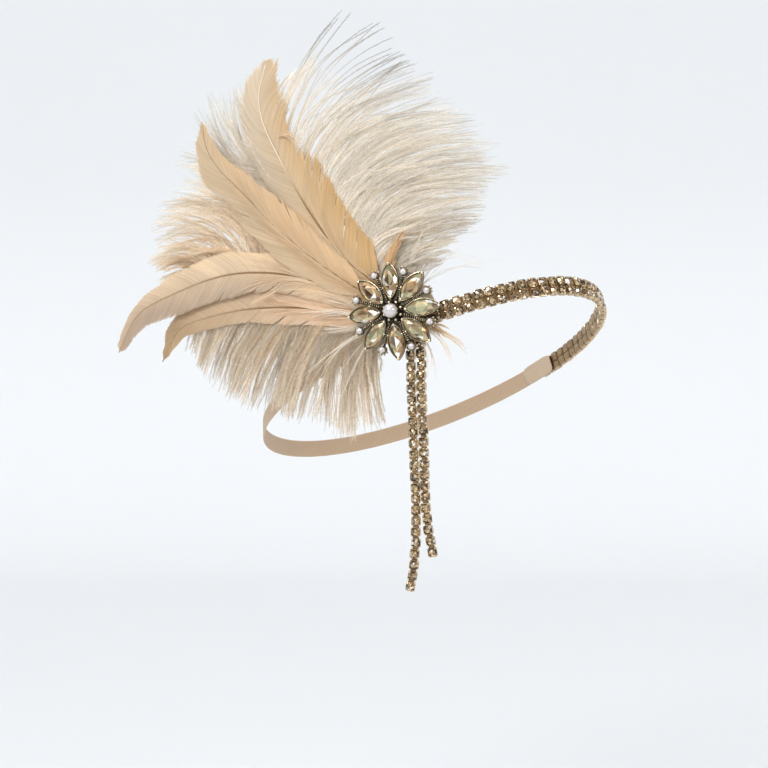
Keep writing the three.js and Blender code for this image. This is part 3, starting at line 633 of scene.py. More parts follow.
class HeadbandPlumes(PropertyGroup):
    """The ostrich plumes."""

    bunches: IntProperty(name="Bunches", description="Bunches of long barbs in a plume", default=112, min=1)
    under: IntProperty(name="Under bunches", description="Bunches of barbs behind them", default=84, min=1)
    barbs: IntProperty(name="Barbs", description="Barbs that gather in a bunch", default=5, min=1)
    fluff: IntProperty(name="Barbules", description="Pairs of barbules on each barb", default=165, min=1)
    upright_root: colour_property("Upright root", "Upright plume near its shaft", (0.885, 0.825, 0.73))
    # The strands behind are dyed darker as painted shade among those in front
    upright_under_shade: colour_property("Upright under", "Upright plume, strands behind", (0.785, 0.72, 0.62))
    left_root: colour_property("Left root", "Left plume near its shaft", (0.86, 0.755, 0.605))
    # The strands behind are dyed darker as painted shade among those in front
    left_under_shade: colour_property("Left under", "Left plume, strands behind", (0.74, 0.59, 0.415))
    upright_tip: colour_property("Upright tips", "Tips of the upright plume", (0.28, 0.23, 0.19))
    left_tip: colour_property("Left tips", "Tips of the left plume", (0.70, 0.62, 0.52))
    seed: IntProperty(name="Seed", description="Which fall of barbs", default=5)


class HeadbandCloth(PropertyGroup):
    """The elastic, the tab and the pad."""

    elastic_width: length_property("Elastic width", "Width of the elastic", 0.009)
    elastic_thick: length_property("Elastic thickness", "Thickness of the elastic", 0.0008)
    ribs: IntProperty(name="Ribs", description="Ribs across the elastic", default=11, min=1)
    elastic: colour_property("Elastic", "Colour of the elastic", (0.60, 0.44, 0.30))
    felt: colour_property("Felt", "Colour of the felt", (0.62, 0.48, 0.34))


class HeadbandStage(PropertyGroup):
    """Floor, light and camera."""

    paper: colour_property("Paper", "Colour of floor and backdrop", (0.775, 0.79, 0.80))
    drop: length_property("Drop", "How far the floor lies under the middle of the loop", 0.3)
    key: FloatProperty(
        name="Key light", description="Strength of the main light", default=1.45)
    glint: FloatProperty(
        name="Glint lamps", description="Power of each small lamp", default=2.0, unit="POWER")
    sky_bright: FloatProperty(
        name="Bright side", description="Strength of the room's light on the main light's side", default=0.70)
    sky_dark: FloatProperty(
        name="Dark side", description="Strength of the room's light from the other side", default=0.27)
    panes: FloatProperty(
        name="Panes", description="Strength of the small bright places of the room", default=4.0)
    turn: angle_property("Camera turn", "Direction of the camera from straight right", 38)
    lens: FloatProperty(
        name="Focal length", description="Focal length of the lens, in millimetres", default=73.17)
    stand: FloatVectorProperty(
        name="Camera place", description="Where the camera stands",
        default=(0.48452, -0.65697, -0.00453), subtype="TRANSLATION")


# Small tools for shapes

def unit(vectors):
    """Vectors scaled to a length of one."""
    return vectors / np.maximum(np.linalg.norm(vectors, axis=-1, keepdims=True), 1e-9)


def mix(low, high, share):
    """The value at a share of the way from low to high."""
    return low + (high - low) * share


def smooth_step(share):
    """A share from 0 to 1 that starts and ends gently."""
    share = np.clip(share, 0.0, 1.0)
    return share * share * (3.0 - 2.0 * share)


def distances(points):
    """How far along a line each of its points lies."""
    return np.concatenate([[0.0], np.cumsum(np.linalg.norm(np.diff(points, axis=0), axis=1))])


def values_at(wanted, reach, values):
    """Values along a line, such as its points, at other distances along it."""
    return np.stack([np.interp(wanted, reach, column) for column in values.T], axis=-1)


def left_of(lean):
    """Directions of a plan turned a quarter to the left."""
    return np.stack([-lean[..., 1], lean[..., 0]], axis=-1)


def raised(plan, height):
    """Points of a plan at their heights."""
    return np.concatenate([plan, height[..., None]], axis=-1)


def turns(count):
    """Angles all the way round."""
    return np.arange(count) * 2.0 * math.pi / count


def level_way(angle):
    """The level direction at an angle."""
    return np.array([math.cos(angle), math.sin(angle), 0.0])


def smooth_line(corners):
    """Evenly spaced points along a smooth curve through the corners."""
    corners = np.asarray(corners, float)
    knots = np.vstack([2 * corners[0] - corners[1], corners, 2 * corners[-1] - corners[-2]])
    share = np.linspace(0.0, 1.0, CORNER_POINTS, endpoint=False)[:, None]
    spans = []
    for before, start, end, after in zip(knots, knots[1:], knots[2:], knots[3:]):
        gaps = [math.sqrt(np.linalg.norm(b - a)) for a, b in ((before, start), (start, end), (end, after))]
        leave = ((start - before) / gaps[0] - (end - before) / (gaps[0] + gaps[1])) * gaps[1] + end - start
        arrive = end - start + ((after - end) / gaps[2] - (after - start) / (gaps[1] + gaps[2])) * gaps[1]
        bend = 2 * start - 2 * end + leave + arrive
        lean = -3 * start + 3 * end - 2 * leave - arrive
        spans.append(start + leave * share + lean * share ** 2 + bend * share ** 3)
    dense = np.vstack(spans + [corners[-1:]])
    reach = distances(dense)
    return values_at(np.linspace(0.0, reach[-1], CURVE_POINTS), reach, dense)


class Shaft:
    """A smooth line in the fan's plan, with distances along it and to its left."""

    def __init__(self, corners):
        self.points = smooth_line(corners)
        self.reach = distances(self.points)
        self.length = self.reach[-1]
        self.lean = unit(np.gradient(self.points, axis=0))

    def place(self, along, left):
        """Plan points at distances along the shaft, or past its end, and to its left."""
        held = np.clip(along, 0.0, self.length)
        point = values_at(held, self.reach, self.points)
        lean = unit(values_at(held, self.reach, self.lean))
        return point + lean * (along - held)[..., None] + left_of(lean) * np.asarray(left)[..., None]


class Shape:
    """Points in millimetres, faces, and three marks for each point, gathered part by part."""

    def __init__(self):
        self.points = []
        self.marks = []
        self.faces = []
        self.count = 0

    def add(self, points, faces, marks=(0.0, 0.0, 0.0)):
        points = np.asarray(points, float).reshape(-1, 3)
        self.points.append(points)
        self.marks.append(np.broadcast_to(np.asarray(marks, float), points.shape))
        if isinstance(faces, np.ndarray):
            self.faces.extend((faces + self.count).tolist())
        else:
            self.faces.extend([corner + self.count for corner in face] for face in faces)
        self.count += len(points)

    def add_copy(self, other, origin, axes):
        """Adds another shape with its x, y and z along the given axes."""
        points = np.vstack(other.points) @ np.asarray(axes) + np.asarray(origin)
        self.add(points, other.faces, np.vstack(other.marks))


def loft(shape, rings, polish, caps=(True, True), reach=0.0):
    """Adds a skin over rings of points, anticlockwise seen from the last one, and closes its ends."""
    rings = np.asarray(rings, float)
    count, sides, _ = rings.shape
    index = np.arange(count * sides).reshape(count, sides)
    ahead = np.roll(index, -1, axis=1)
    faces = np.stack([index[:-1], ahead[:-1], ahead[1:], index[1:]], axis=-1).reshape(-1, 4).tolist()
    if caps[0]:
        faces.append(index[0, ::-1].tolist())
    if caps[1]:
        faces.append(index[-1].tolist())
    marks = np.zeros((count, sides, 3))
    marks[..., 0] = np.asarray(polish, float).reshape(-1, 1)
    marks[..., 2] = np.asarray(reach, float).reshape(-1, 1)
    shape.add(rings, faces, marks.reshape(-1, 3))


def turned(profile, sides):
    """Rings of a turned form, from rows of radius and height."""
    turn = turns(sides)
    radius = np.array([row[0] for row in profile])[:, None]
    height = np.array([row[1] for row in profile])[:, None]
    return np.stack([radius * np.cos(turn), radius * np.sin(turn), height + 0.0 * turn], axis=-1)


def turned_part(shape, profile, sides, origin=(0.0, 0.0, 0.0)):
    """Adds a turned form from rows of radius, height and polish."""
    loft(shape, turned(profile, sides) + np.asarray(origin), [row[2] for row in profile])


def outlined_part(shape, outline, profile):
    """Adds a form with one outline from rows of its scale, height and polish."""
    rings = [np.column_stack([outline * row[0], np.full(len(outline), row[1])]) for row in profile]
    loft(shape, rings, [row[2] for row in profile])


def bead(shape, centre, radius, polish, sides=10, rings=7, stretch=(1.0, 1.0, 1.0), axes=np.eye(3)):
    """Adds a round bead, or one that is stretched along its axes."""
    tilt = (np.arange(rings) + 0.35) * math.pi / (rings - 0.3)
    ball = turned(np.stack([np.sin(tilt), -np.cos(tilt)], axis=-1), sides) * radius * np.asarray(stretch)
    loft(shape, ball @ np.asarray(axes) + np.asarray(centre), polish)


def ribbons(shape, lines, half_widths, facing, marks):
    """Adds a flat ribbon along each line, (lines, steps, 3), that faces the given way."""
    count, steps, _ = lines.shape
    side = unit(np.cross(facing, unit(np.gradient(lines, axis=1))))
    reach = side * half_widths[..., None]
    points = np.stack([lines + reach, lines - reach], axis=2)
    base = (np.arange(count) * steps * 2)[:, None] + np.arange(steps - 1) * 2
    quads = np.stack([base, base + 1, base + 3, base + 2], axis=-1).reshape(-1, 4)
    shape.add(points, quads, np.repeat(marks[:, :, None, :], 2, axis=2).reshape(-1, 3))


def make_piece(name, shape, material, nodes=(), crease_deg=None):
    """Makes a piece of the object, which rides on the frame and may stand for frame nodes."""
    mesh = bpy.data.meshes.new(name)
    mesh.from_pydata((np.vstack(shape.points) * MM).tolist(), [], shape.faces)
    marks = mesh.attributes.new("mark", "FLOAT_VECTOR", "POINT")
    marks.data.foreach_set("vector", np.vstack(shape.marks).astype(np.float32).ravel())
    if crease_deg is not None:
        mesh.shade_smooth()
        mesh.set_sharp_from_angle(angle=math.radians(crease_deg))
    mesh.materials.append(material)
    piece = bpy.data.objects.new(name, mesh)
    bpy.context.scene.collection.objects.link(piece)
    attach(piece, BODY)
    if nodes:
        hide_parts(*nodes)
    return piece


# The loop and the brooch's seat

def loop_plan(loop, degrees):
    """A point of the loop's plan at an angle, and the level direction outward there."""
    turn = math.radians(degrees)
    half = np.array([loop.half_length, loop.half_width, 1.0]) / MM
    plan = half * np.array([math.cos(turn), math.sin(turn), 0.0])
    return plan, unit(plan / half ** 2)


def loop_frame(loop, degrees, away=0.0):
    """A point of the loop, the axes along it, across it and outward, and how far it runs for each radian."""
    plan, out = loop_plan(loop, degrees)
    turn = math.radians(degrees)
    rise = math.tan(loop.pitch)
    roll = math.tan(loop.roll)
    along = np.array([-loop.half_length * math.sin(turn), loop.half_width * math.cos(turn), 0.0]) / MM
    along[2] = rise * along[0] + roll * along[1]
    stretch = np.linalg.norm(along)
    along = along / stretch
    slope = loop.forehead * max(math.cos(turn), 0.0) ** FOREHEAD_POWER
    normal = out * math.cos(slope) + UP * math.sin(slope)
    normal = unit(normal - normal.dot(along) * along)
    point = plan + UP * (rise * plan[0] + roll * plan[1]) + normal * away
    return point, np.array([along, np.cross(normal, along), normal]), stretch


class Seat:
    """The brooch's own frame on the loop."""

    def __init__(self, loop):
        self.origin = loop_frame(loop, SEAT_DEG)[0] + UP * SEAT_RISE
        out = loop_plan(loop, SEAT_DEG)[1]
        self.axes = np.array([np.cross(UP, out), UP, out])

    def world(self, local):
        """Points of the seat's frame in the row's frame."""
        return np.asarray(local) @ self.axes + self.origin

    def local(self, world):
        """Points of the row's frame in the seat's frame."""
        return (np.asarray(world) - self.origin) @ self.axes.T


def fan_height(plan, level, lift):
    """Height of the fan over the seat at points of its plan."""
    reach = np.hypot(plan[..., 0], plan[..., 1]) / FAN_REACH
    return level + lift * reach ** 2 - FAN_BEND * np.minimum(plan[..., 0], 0.0) ** 2


# Material tools

def node(tree, kind, inputs=None, **settings):
    """A node with its settings, each input set to a value or linked from a socket."""
    made = tree.nodes.new(kind)
    for name, value in settings.items():
        setattr(made, name, value)
    for name, value in (inputs or {}).items():
        connect(tree, made.inputs[name], value)
    return made


def connect(tree, socket, value):
    """Links a socket, or sets its own value."""
    if isinstance(value, bpy.types.NodeSocket):
        tree.links.new(value, socket)
    else:
        socket.default_value = value


def blended(tree, share, low, high, mode="MIX"):
    """A colour between two others."""
    made = node(tree, "ShaderNodeMix", data_type="RGBA", blend_type=mode)
    for place, value in ((0, share), (6, low), (7, high)):
        connect(tree, made.inputs[place], value)
    return made.outputs[2]


def worked(tree, operation, *values, clamp=False):
    """The result of arithmetic on values or sockets."""
    made = node(tree, "ShaderNodeMath", operation=operation, use_clamp=clamp)
    for socket, value in zip(made.inputs, values):
        connect(tree, socket, value)
    return made.outputs[0]


def marks_of(tree):
    """The three marks of the points, as sockets."""
    attribute = node(tree, "ShaderNodeAttribute", attribute_name="mark")
    return node(tree, "ShaderNodeSeparateXYZ", {"Vector": attribute.outputs["Vector"]}).outputs


def new_group(name, inputs, outputs):
    """An empty node group with named sockets, and its two ends."""
    tree = bpy.data.node_groups.new(name, "ShaderNodeTree")
    for way, sockets in (("INPUT", inputs), ("OUTPUT", outputs)):
        for label, kind in sockets:
            tree.interface.new_socket(name=label, in_out=way, socket_type=kind)
    return tree, node(tree, "NodeGroupInput").outputs, node(tree, "NodeGroupOutput").inputs


def use_group(tree, name, build, inputs):
    """The outputs of a node group, built at its first use and placed in a material with its own values."""
    group = bpy.data.node_groups.get(name) or build(name)
    return node(tree, "ShaderNodeGroup", inputs, node_tree=group).outputs


def noise(tree, scale, detail, **more):
    """Noise in the piece's own space."""
    place = node(tree, "ShaderNodeTexCoord").outputs["Object"]
    inputs = {"Vector": place, "Scale": scale, "Detail": detail, **more}
    return node(tree, "ShaderNodeTexNoise", inputs).outputs["Fac"]


def ranged(tree, value, source, target):
    """A value moved from one span to another, and held inside it."""
    made = node(tree, "ShaderNodeMapRange", {
        "Value": value, "From Min": source[0], "From Max": source[1],
        "To Min": target[0], "To Max": target[1]})
    return made.outputs["Result"]


def opaque(colour):
    """A colour with its alpha."""
    return (*colour, 1.0)


def new_material(name, plain):
    """A material with a Principled shader whose plain values are set; its tree and that shader."""
    material = bpy.data.materials.new(name)
    material.use_nodes = True
    tree = material.node_tree
    tree.nodes.clear()
    shader = node(tree, "ShaderNodeBsdfPrincipled", plain)
    node(tree, "ShaderNodeOutputMaterial", {"Surface": shader.outputs[0]})
    return material, tree, shader.inputs


def let_through(tree, shader, colour, share):
    """Lets some of the light through a thin material."""
    output = next(n for n in tree.nodes if n.bl_idname == "ShaderNodeOutputMaterial")
    glow = node(tree, "ShaderNodeBsdfTranslucent", {"Color": colour})
    both = node(tree, "ShaderNodeMixShader", {"Fac": share})
    tree.links.new(shader["Base Color"].node.outputs[0], both.inputs[1])
    tree.links.new(glow.outputs[0], both.inputs[2])
    tree.links.new(both.outputs[0], output.inputs["Surface"])


COLOUR = "NodeSocketColor"
VALUE = "NodeSocketFloat"

# Dyed barbs: the scale of patches in the dye, how far they shift it, and how fast the painted shadow
# beside the shaft fades
PATCH_SCALE = 60.0
PATCH_SHIFT = 0.4
PAINTED_SHADOW_FADE = 11.0

# Antiqued or shaded metal: how far specks shift its polish, the roughness of dark metal, and how much
# smoother worn metal is
SPECK_SHIFT = 0.7
DARK_ROUGHNESS = 0.46
WORN_SMOOTHER = 0.3

# Brightness of felt between its fibres, and how much more they have
NAP_SHADE = 0.75
NAP_LIFT = 0.5


def barb_tones(name):
    """Barbs from one dye to another along the shaft, with a tint for each, patches, painted light on one side
    and a painted shadow beside the shaft.
    """
    tree, given, result = new_group(
        name,
        (("Base", COLOUR), ("Outer", COLOUR), ("Streak", VALUE), ("Lit side", VALUE), ("Painted shaft shadow", VALUE)),
        (("Colour", COLOUR),))
    tint, across, reach = marks_of(tree)
    patch = worked(tree, "SUBTRACT", noise(tree, PATCH_SCALE, 2.0), 0.5)
    shifted = worked(tree, "ADD", reach, worked(tree, "MULTIPLY", patch, PATCH_SHIFT))
    # Painted light and shade: one side of the vane takes more of the outer dye than the other, by how it
    # faces the light
    pale = worked(tree, "ADD", shifted, worked(tree, "MULTIPLY", across, given["Lit side"]), clamp=True)
    dyed = blended(tree, pale, given["Base"], given["Outer"])
    # Painted shadow of the shaft: a dark line just right of it
    painted_shadow = worked(tree, "ADD", 1.0, worked(tree, "MULTIPLY", across, PAINTED_SHADOW_FADE), clamp=True)
    painted_shadow = worked(tree, "MULTIPLY", painted_shadow, worked(tree, "LESS_THAN", across, 0.0))
    value = worked(tree, "ADD", worked(tree, "MULTIPLY", tint, given["Streak"]), 1.0)
    value = worked(tree, "SUBTRACT", value, worked(tree, "MULTIPLY", painted_shadow, given["Painted shaft shadow"]))
    tinted = node(tree, "ShaderNodeHueSaturation", {"Color": dyed, "Value": value}).outputs[0]
    tree.links.new(tinted, result["Colour"])
    return tree


def antiquing_and_painted_shade(name):
    """Metal rubbed bright where it stands out and dark in its recesses: antiquing on the brooch, painted
    shade on the chain.
    """
    tree, given, result = new_group(
        name, (("Bright", COLOUR), ("Dark", COLOUR), ("Grain", VALUE)),
        (("Colour", COLOUR), ("Roughness", VALUE), ("Height", VALUE)))
    polish = marks_of(tree)[0]
    grain = noise(tree, given["Grain"], 4.0)
    speck = worked(tree, "MULTIPLY", worked(tree, "SUBTRACT", grain, 0.5), SPECK_SHIFT)
    worn = worked(tree, "ADD", polish, speck, clamp=True)
    rough = worked(tree, "SUBTRACT", DARK_ROUGHNESS, worked(tree, "MULTIPLY", worn, WORN_SMOOTHER))
    tree.links.new(blended(tree, worn, given["Dark"], given["Bright"]), result["Colour"])
    tree.links.new(rough, result["Roughness"])
    tree.links.new(grain, result["Height"])
    return tree


def painted_facet_reflections(name):
    """Foil behind cut glass: each facet has its own depth of colour, and some flash green, peach or white;
    all painted reflections and glints.
    """
    tree, given, result = new_group(
        name, (("Deep", COLOUR), ("Pale", COLOUR), ("Green", COLOUR), ("Peach", COLOUR), ("Flash", VALUE)),
        (("Colour", COLOUR),))
    depth, green, peach = marks_of(tree)
    colour = blended(tree, depth, given["Deep"], given["Pale"])
    for mark, flash in ((green, given["Green"]), (peach, given["Peach"])):
        lit = worked(tree, "MULTIPLY", worked(tree, "GREATER_THAN", mark, FLASH_FROM), given["Flash"])
        colour = blended(tree, lit, colour, flash)
    # Painted glints: the brightest facets are made white
    white = worked(tree, "GREATER_THAN", depth, PAINTED_GLINT_FROM)
    tree.links.new(blended(tree, white, colour, PAINTED_GLINT_COLOUR), result["Colour"])
    return tree


def nap(name):
    """Fine matted fibres."""
    tree, given, result = new_group(
        name, (("Colour", COLOUR), ("Scale", VALUE)), (("Colour", COLOUR), ("Height", VALUE)))
    fibre = noise(tree, given["Scale"], 6.0, Roughness=0.7, Distortion=1.5)
    value = worked(tree, "ADD", worked(tree, "MULTIPLY", fibre, NAP_LIFT), NAP_SHADE)
    shaded = node(tree, "ShaderNodeHueSaturation", {"Color": given["Colour"], "Value": value}).outputs[0]
    tree.links.new(shaded, result["Colour"])
    tree.links.new(fibre, result["Height"])
    return tree


def bumped(tree, height, strength, distance):
    """A normal that follows a height."""
    inputs = {"Height": height, "Strength": strength, "Distance": distance}
    return node(tree, "ShaderNodeBump", inputs).outputs[0]


def barb_material(name, base, outer, streak, through, lit_side=0.0, painted_shaft_shadow=0.0):
    """Feather or plume barbs."""
    material, tree, shader = new_material(
        name, {"Roughness": 0.72, "Specular IOR Level": 0.25, "Sheen Weight": 0.15, "Sheen Roughness": 0.4})
    tones = use_group(tree, "Barb tones", barb_tones, {
        "Base": opaque(base), "Outer": opaque(outer), "Streak": streak,
        "Lit side": lit_side, "Painted shaft shadow": painted_shaft_shadow})
    tree.links.new(tones["Colour"], shader["Base Color"])
    let_through(tree, shader, tones["Colour"], through)
    return material


def metal_material(name, bright, dark, grain):
    """Polished or antiqued metal, dark in its recesses: antiquing on the brooch, painted shade on the chain.
    """
    material, tree, shader = new_material(name, {"Metallic": 1.0})
    finish = use_group(tree, "Patina", antiquing_and_painted_shade, {
        "Bright": opaque(bright), "Dark": opaque(dark), "Grain": grain})
    tree.links.new(finish["Colour"], shader["Base Color"])
    tree.links.new(finish["Roughness"], shader["Roughness"])
    tree.links.new(bumped(tree, finish["Height"], 0.15, 0.0002), shader["Normal"])
    return material


def stone_material(name, stone, metallic, flash):
    """Foil-backed cut glass whose facets carry painted reflections and glints."""
    material, tree, shader = new_material(name, {
        "Metallic": metallic, "Roughness": 0.14, "Coat Weight": 1.0, "Coat Roughness": 0.02, "Coat IOR": 1.6})
    tones = use_group(tree, "Facet tones", painted_facet_reflections, {
        "Deep": opaque(stone.stone_deep), "Pale": opaque(stone.stone_pale),
        "Green": opaque(stone.stone_green), "Peach": opaque(stone.stone_peach), "Flash": flash})
    tree.links.new(tones["Colour"], shader["Base Color"])
    return material


def cloth_material(name, colour, scale, depth):
    """Felt or woven elastic."""
    material, tree, shader = new_material(
        name, {"Roughness": 0.9, "Sheen Weight": 0.3, "Specular IOR Level": 0.2})
    fibres = use_group(tree, "Nap", nap, {"Colour": opaque(colour), "Scale": scale})
    tree.links.new(fibres["Colour"], shader["Base Color"])
    tree.links.new(bumped(tree, fibres["Height"], 0.6, depth), shader["Normal"])
    return material


def pearl_material(colour):
    """Pearl with a soft lustre."""
    material, tree, shader = new_material(
        "Pearl", {"Roughness": 0.26, "Coat Weight": 0.7, "Coat Roughness": 0.08, "Metallic": 0.55})
    rosy = tuple(np.array(colour) * np.array([0.97, 0.88, 0.88]))
    cloudy = blended(tree, noise(tree, 500.0, 3.0), opaque(colour), opaque(rosy))
    tree.links.new(cloudy, shader["Base Color"])
    return material


# Cut stones and chain

def round_outline(turn):
    """A circle of radius one."""
    return np.stack([np.cos(turn), np.sin(turn)], axis=-1)


def marquise_outline(turn, half):
    """A pointed oval with two equal arcs; its outer end is at no turn."""
    length, width = half
    radius = (length ** 2 + width ** 2) / (2.0 * width)
    reach = math.asin(length / radius)
    turn = np.mod(turn, 2.0 * math.pi)
    side = np.where(turn < math.pi, 1.0, -1.0)
    swing = reach * (1.0 - 2.0 * np.mod(turn, math.pi) / math.pi)
    rise = radius * np.cos(swing) - radius + width
    return np.stack([side * radius * np.sin(swing), side * rise], axis=-1)


def square_outline(turn, power):
    """A square of half width one with rounded corners, which a higher power makes sharper."""
    corner = (np.abs(np.cos(turn)) ** power + np.abs(np.sin(turn)) ** power) ** (1.0 / power)
    return round_outline(turn) / corner[:, None]


def tinted_facets(facets, rng, tones, flash=(0.0, 0.0)):
    """A stone whose facets have corners and a tint of their own, which paints their reflections."""
    shape = Shape()
    for facet in facets:
        tint = rng.uniform(0.0, 1.0, 3)
        tint[0] = np.interp(tint[0], *tones)
        tint[1:] += flash
        shape.add(np.array(facet), [list(range(len(facet)))], tint)
    return shape


def stone_ring(outline, count, shift, scale, height):
    """Points round a stone."""
    flat = outline((np.arange(count) + shift) * 2.0 * math.pi / count) * scale
    return np.column_stack([flat, np.full(count, height)])


def petal_stone(rng, flash):
    """A brilliant-cut petal; the back facets show through its table on both sides of a keel."""
    def outline(turn):
        return marquise_outline(turn, STONE_HALF)

    culet, girdle, middle, top = PETAL_LEVELS
    belt, table = PETAL_SCALES
    crown = stone_ring(outline, STONE_SIDES, 0.0, table, top)
    waist = stone_ring(outline, STONE_SIDES, 0.5, belt, middle)
    edge = stone_ring(outline, 2 * STONE_SIDES, 0.0, 1.0, girdle)
    point = UP * culet
    ahead = np.array([KEEL_HALF, 0.0, top + KEEL_RISE])
    behind = np.array([-KEEL_HALF, 0.0, top + KEEL_RISE])
    keel = [ahead, behind, behind, ahead]
    quarter = STONE_SIDES // 4
    facets = [[ahead, crown[quarter], behind], [behind, crown[-quarter], ahead]]
    for k in range(STONE_SIDES):
        after = (k + 1) % STONE_SIDES
        facets.append([keel[k // quarter], crown[k], crown[after]])
        facets.append([crown[k], waist[k], crown[after]])
        facets.append([crown[k], waist[k - 1], edge[2 * k], waist[k]])
        facets.append([waist[k], edge[2 * k], edge[2 * k + 1]])
        facets.append([waist[k], edge[2 * k + 1], edge[2 * after]])
        facets.append([point, edge[2 * k + 1], edge[2 * k]])
        facets.append([point, edge[2 * after], edge[2 * k + 1]])
    return tinted_facets(facets, rng, PETAL_TONES, flash)


def chain_stone(half, rng):
    """A step-cut square stone of the chain."""
    def outline(turn):
        return square_outline(turn, STONE_CORNER) * half

    culet, girdle, top = CHAIN_LEVELS
    rim, table = CHAIN_SCALES
    crown = stone_ring(outline, STONE_SIDES, 0.5, table, top)
    edge = stone_ring(outline, STONE_SIDES, 0.5, rim, girdle)
    point = UP * culet
    middle = UP * (top + KEEL_RISE)
    facets = []
    for k in range(STONE_SIDES):
        after = (k + 1) % STONE_SIDES
        facets.append([middle, crown[k], crown[after]])
        facets.append([crown[k], edge[k], edge[after], crown[after]])
        facets.append([point, edge[after], edge[k]])
    return tinted_facets(facets, rng, CHAIN_TONES)


def chain_cup(half):
    """One cup of the chain with its four prongs."""
    shape = Shape()
    outlined_part(shape, square_outline(turns(CUP_SIDES), CUP_CORNER) * half, CUP_PROFILE)
    for angle in turns(4) + math.pi / 4.0:
        out = level_way(angle)
        aside = np.cross(UP, out)
        sections = []
        for outer, outer_z, inner, inner_z, width in PRONG_SECTIONS:
            far = out * outer + UP * outer_z
            near = out * inner + UP * inner_z
            reach = aside * width
            sections.append([far - reach, far + reach, near + reach, near - reach])
        loft(shape, sections, 1.0)
    return shape


def tilted(axes, rng):
    """Axes turned a little, as stones in a chain never lie quite alike."""
    lean = rng.normal(0.0, math.radians(CUP_TILT_DEG), 2)
    normal = unit(axes[2] + axes[0] * lean[0] + axes[1] * lean[1])
    along = unit(axes[0] - normal * axes[0].dot(normal))
    return np.array([along, np.cross(normal, along), normal])


def link(metal, ends, half_width):
    """Adds a flat bar between two ends: a place, and its axes across and outward."""
    low, high = LINK_HEIGHTS
    corners = np.array([[half_width, low], [half_width, high], [-half_width, high], [-half_width, low]])
    rings = [place + corners[:, :1] * across + corners[:, 1:] * out for place, across, out in ends]
    # A low polish paints the links dark, as shade between the cups
    loft(metal, rings, LINK_PAINTED_SHADE_POLISH)


def make_chain(name, frames, chain, node_name, seed, reach_across=0.0):
    """Cups, links and stones at frames of a place and its axes; links may reach across to a next row."""
    rng = np.random.default_rng(seed)
    half = chain.cup / MM / 2.0
    inset = half * LINK_INSET
    lap = LINK_HALF_WIDTH * LINK_INSET
    crossing = (lap, 2.0 * half + reach_across - lap)
    cup = chain_cup(half)
    metal = Shape()
    stones = Shape()
    for place, axes in frames:
        leaning = tilted(axes, rng)
        metal.add_copy(cup, place, leaning)
        stones.add_copy(chain_stone(half, rng), place, leaning)
        if reach_across:
            ends = [(place + axes[1] * far, -axes[0], axes[2]) for far in crossing]
            link(metal, ends, chain.pitch / MM / 2.0)
    for (start, axes), (end, axes_end) in zip(frames, frames[1:]):
        leaving = (start + axes[0] * inset, axes[1], axes[2])
        arriving = (end - axes_end[0] * inset, axes_end[1], axes_end[2])
        link(metal, (leaving, arriving), LINK_HALF_WIDTH)
    # The chain's gold is dark in its cups and links as painted shade
    gold = bpy.data.materials.get("Champagne gold") or metal_material(
        "Champagne gold", chain.bright, chain.dark, grain=900.0)
    glass = bpy.data.materials.get("Champagne stone") or stone_material(
        "Champagne stone", chain, metallic=0.75, flash=0.35)
    make_piece(f"{name}_cups", metal, gold, (node_name,), crease_deg=40.0)
    make_piece(f"{name}_stones", stones, glass)


def band_frames(loop, chain, shift):
    """Places of the stones of one row of the band."""
    frames = []
    degrees = BAND_SPAN[0]
    while degrees <= BAND_SPAN[1]:
        point, axes, stretch = loop_frame(loop, degrees, BAND_OUT)
        frames.append((point + axes[1] * shift, axes))
        degrees += math.degrees(chain.pitch / MM / stretch)
    return frames


def strand_frames(seat, chain, strand):
    """Places of the stones of one hanging strand."""
    line = smooth_line([(x, y, BAND_OUT) for x, y in strand["line"]])
    reach = distances(line)
    lean = unit(np.gradient(line, axis=0))
    frames = []
    for distance in np.arange(0.0, reach[-1], chain.pitch / MM):
        along = unit(values_at(distance, reach, lean))
        turn = math.radians(strand["turn"]) * distance / reach[-1]
        normal = np.array([math.sin(turn), 0.0, math.cos(turn)])
        normal = unit(normal - along * normal.dot(along))
        axes = np.array([along, np.cross(normal, along), normal])
        frames.append((seat.world(values_at(distance, reach, line)), axes @ seat.axes))
    return frames


# Brooch

def petal_axes(index):
    """Place and axes of one petal in the seat's frame: x outward, z up from its girdle."""
    out = level_way(math.radians(PETAL_START_DEG + 360.0 / PETALS * index))
    dip = math.radians(PETAL_DIP_DEG)
    along = out * math.cos(dip) - UP * math.sin(dip)
    normal = out * math.sin(dip) + UP * math.cos(dip)
    return out * PETAL_RADIUS + UP * PETAL_HEIGHT, np.array([along, np.cross(normal, along), normal])


def arm_direction(index):
    """Direction of the arm after a petal."""
    return level_way(math.radians(PETAL_START_DEG + 360.0 / PETALS * (index + 0.5)))


def petal_tray():
    """The metal tray of one petal stone, with its claws."""
    shape = Shape()
    outlined_part(shape, marquise_outline(turns(TRAY_SIDES), TRAY_HALF), TRAY_PROFILE)
    for centre, radius, polish, stretch in TRAY_CLAWS:
        bead(shape, centre, radius, polish, stretch=stretch)
    return shape


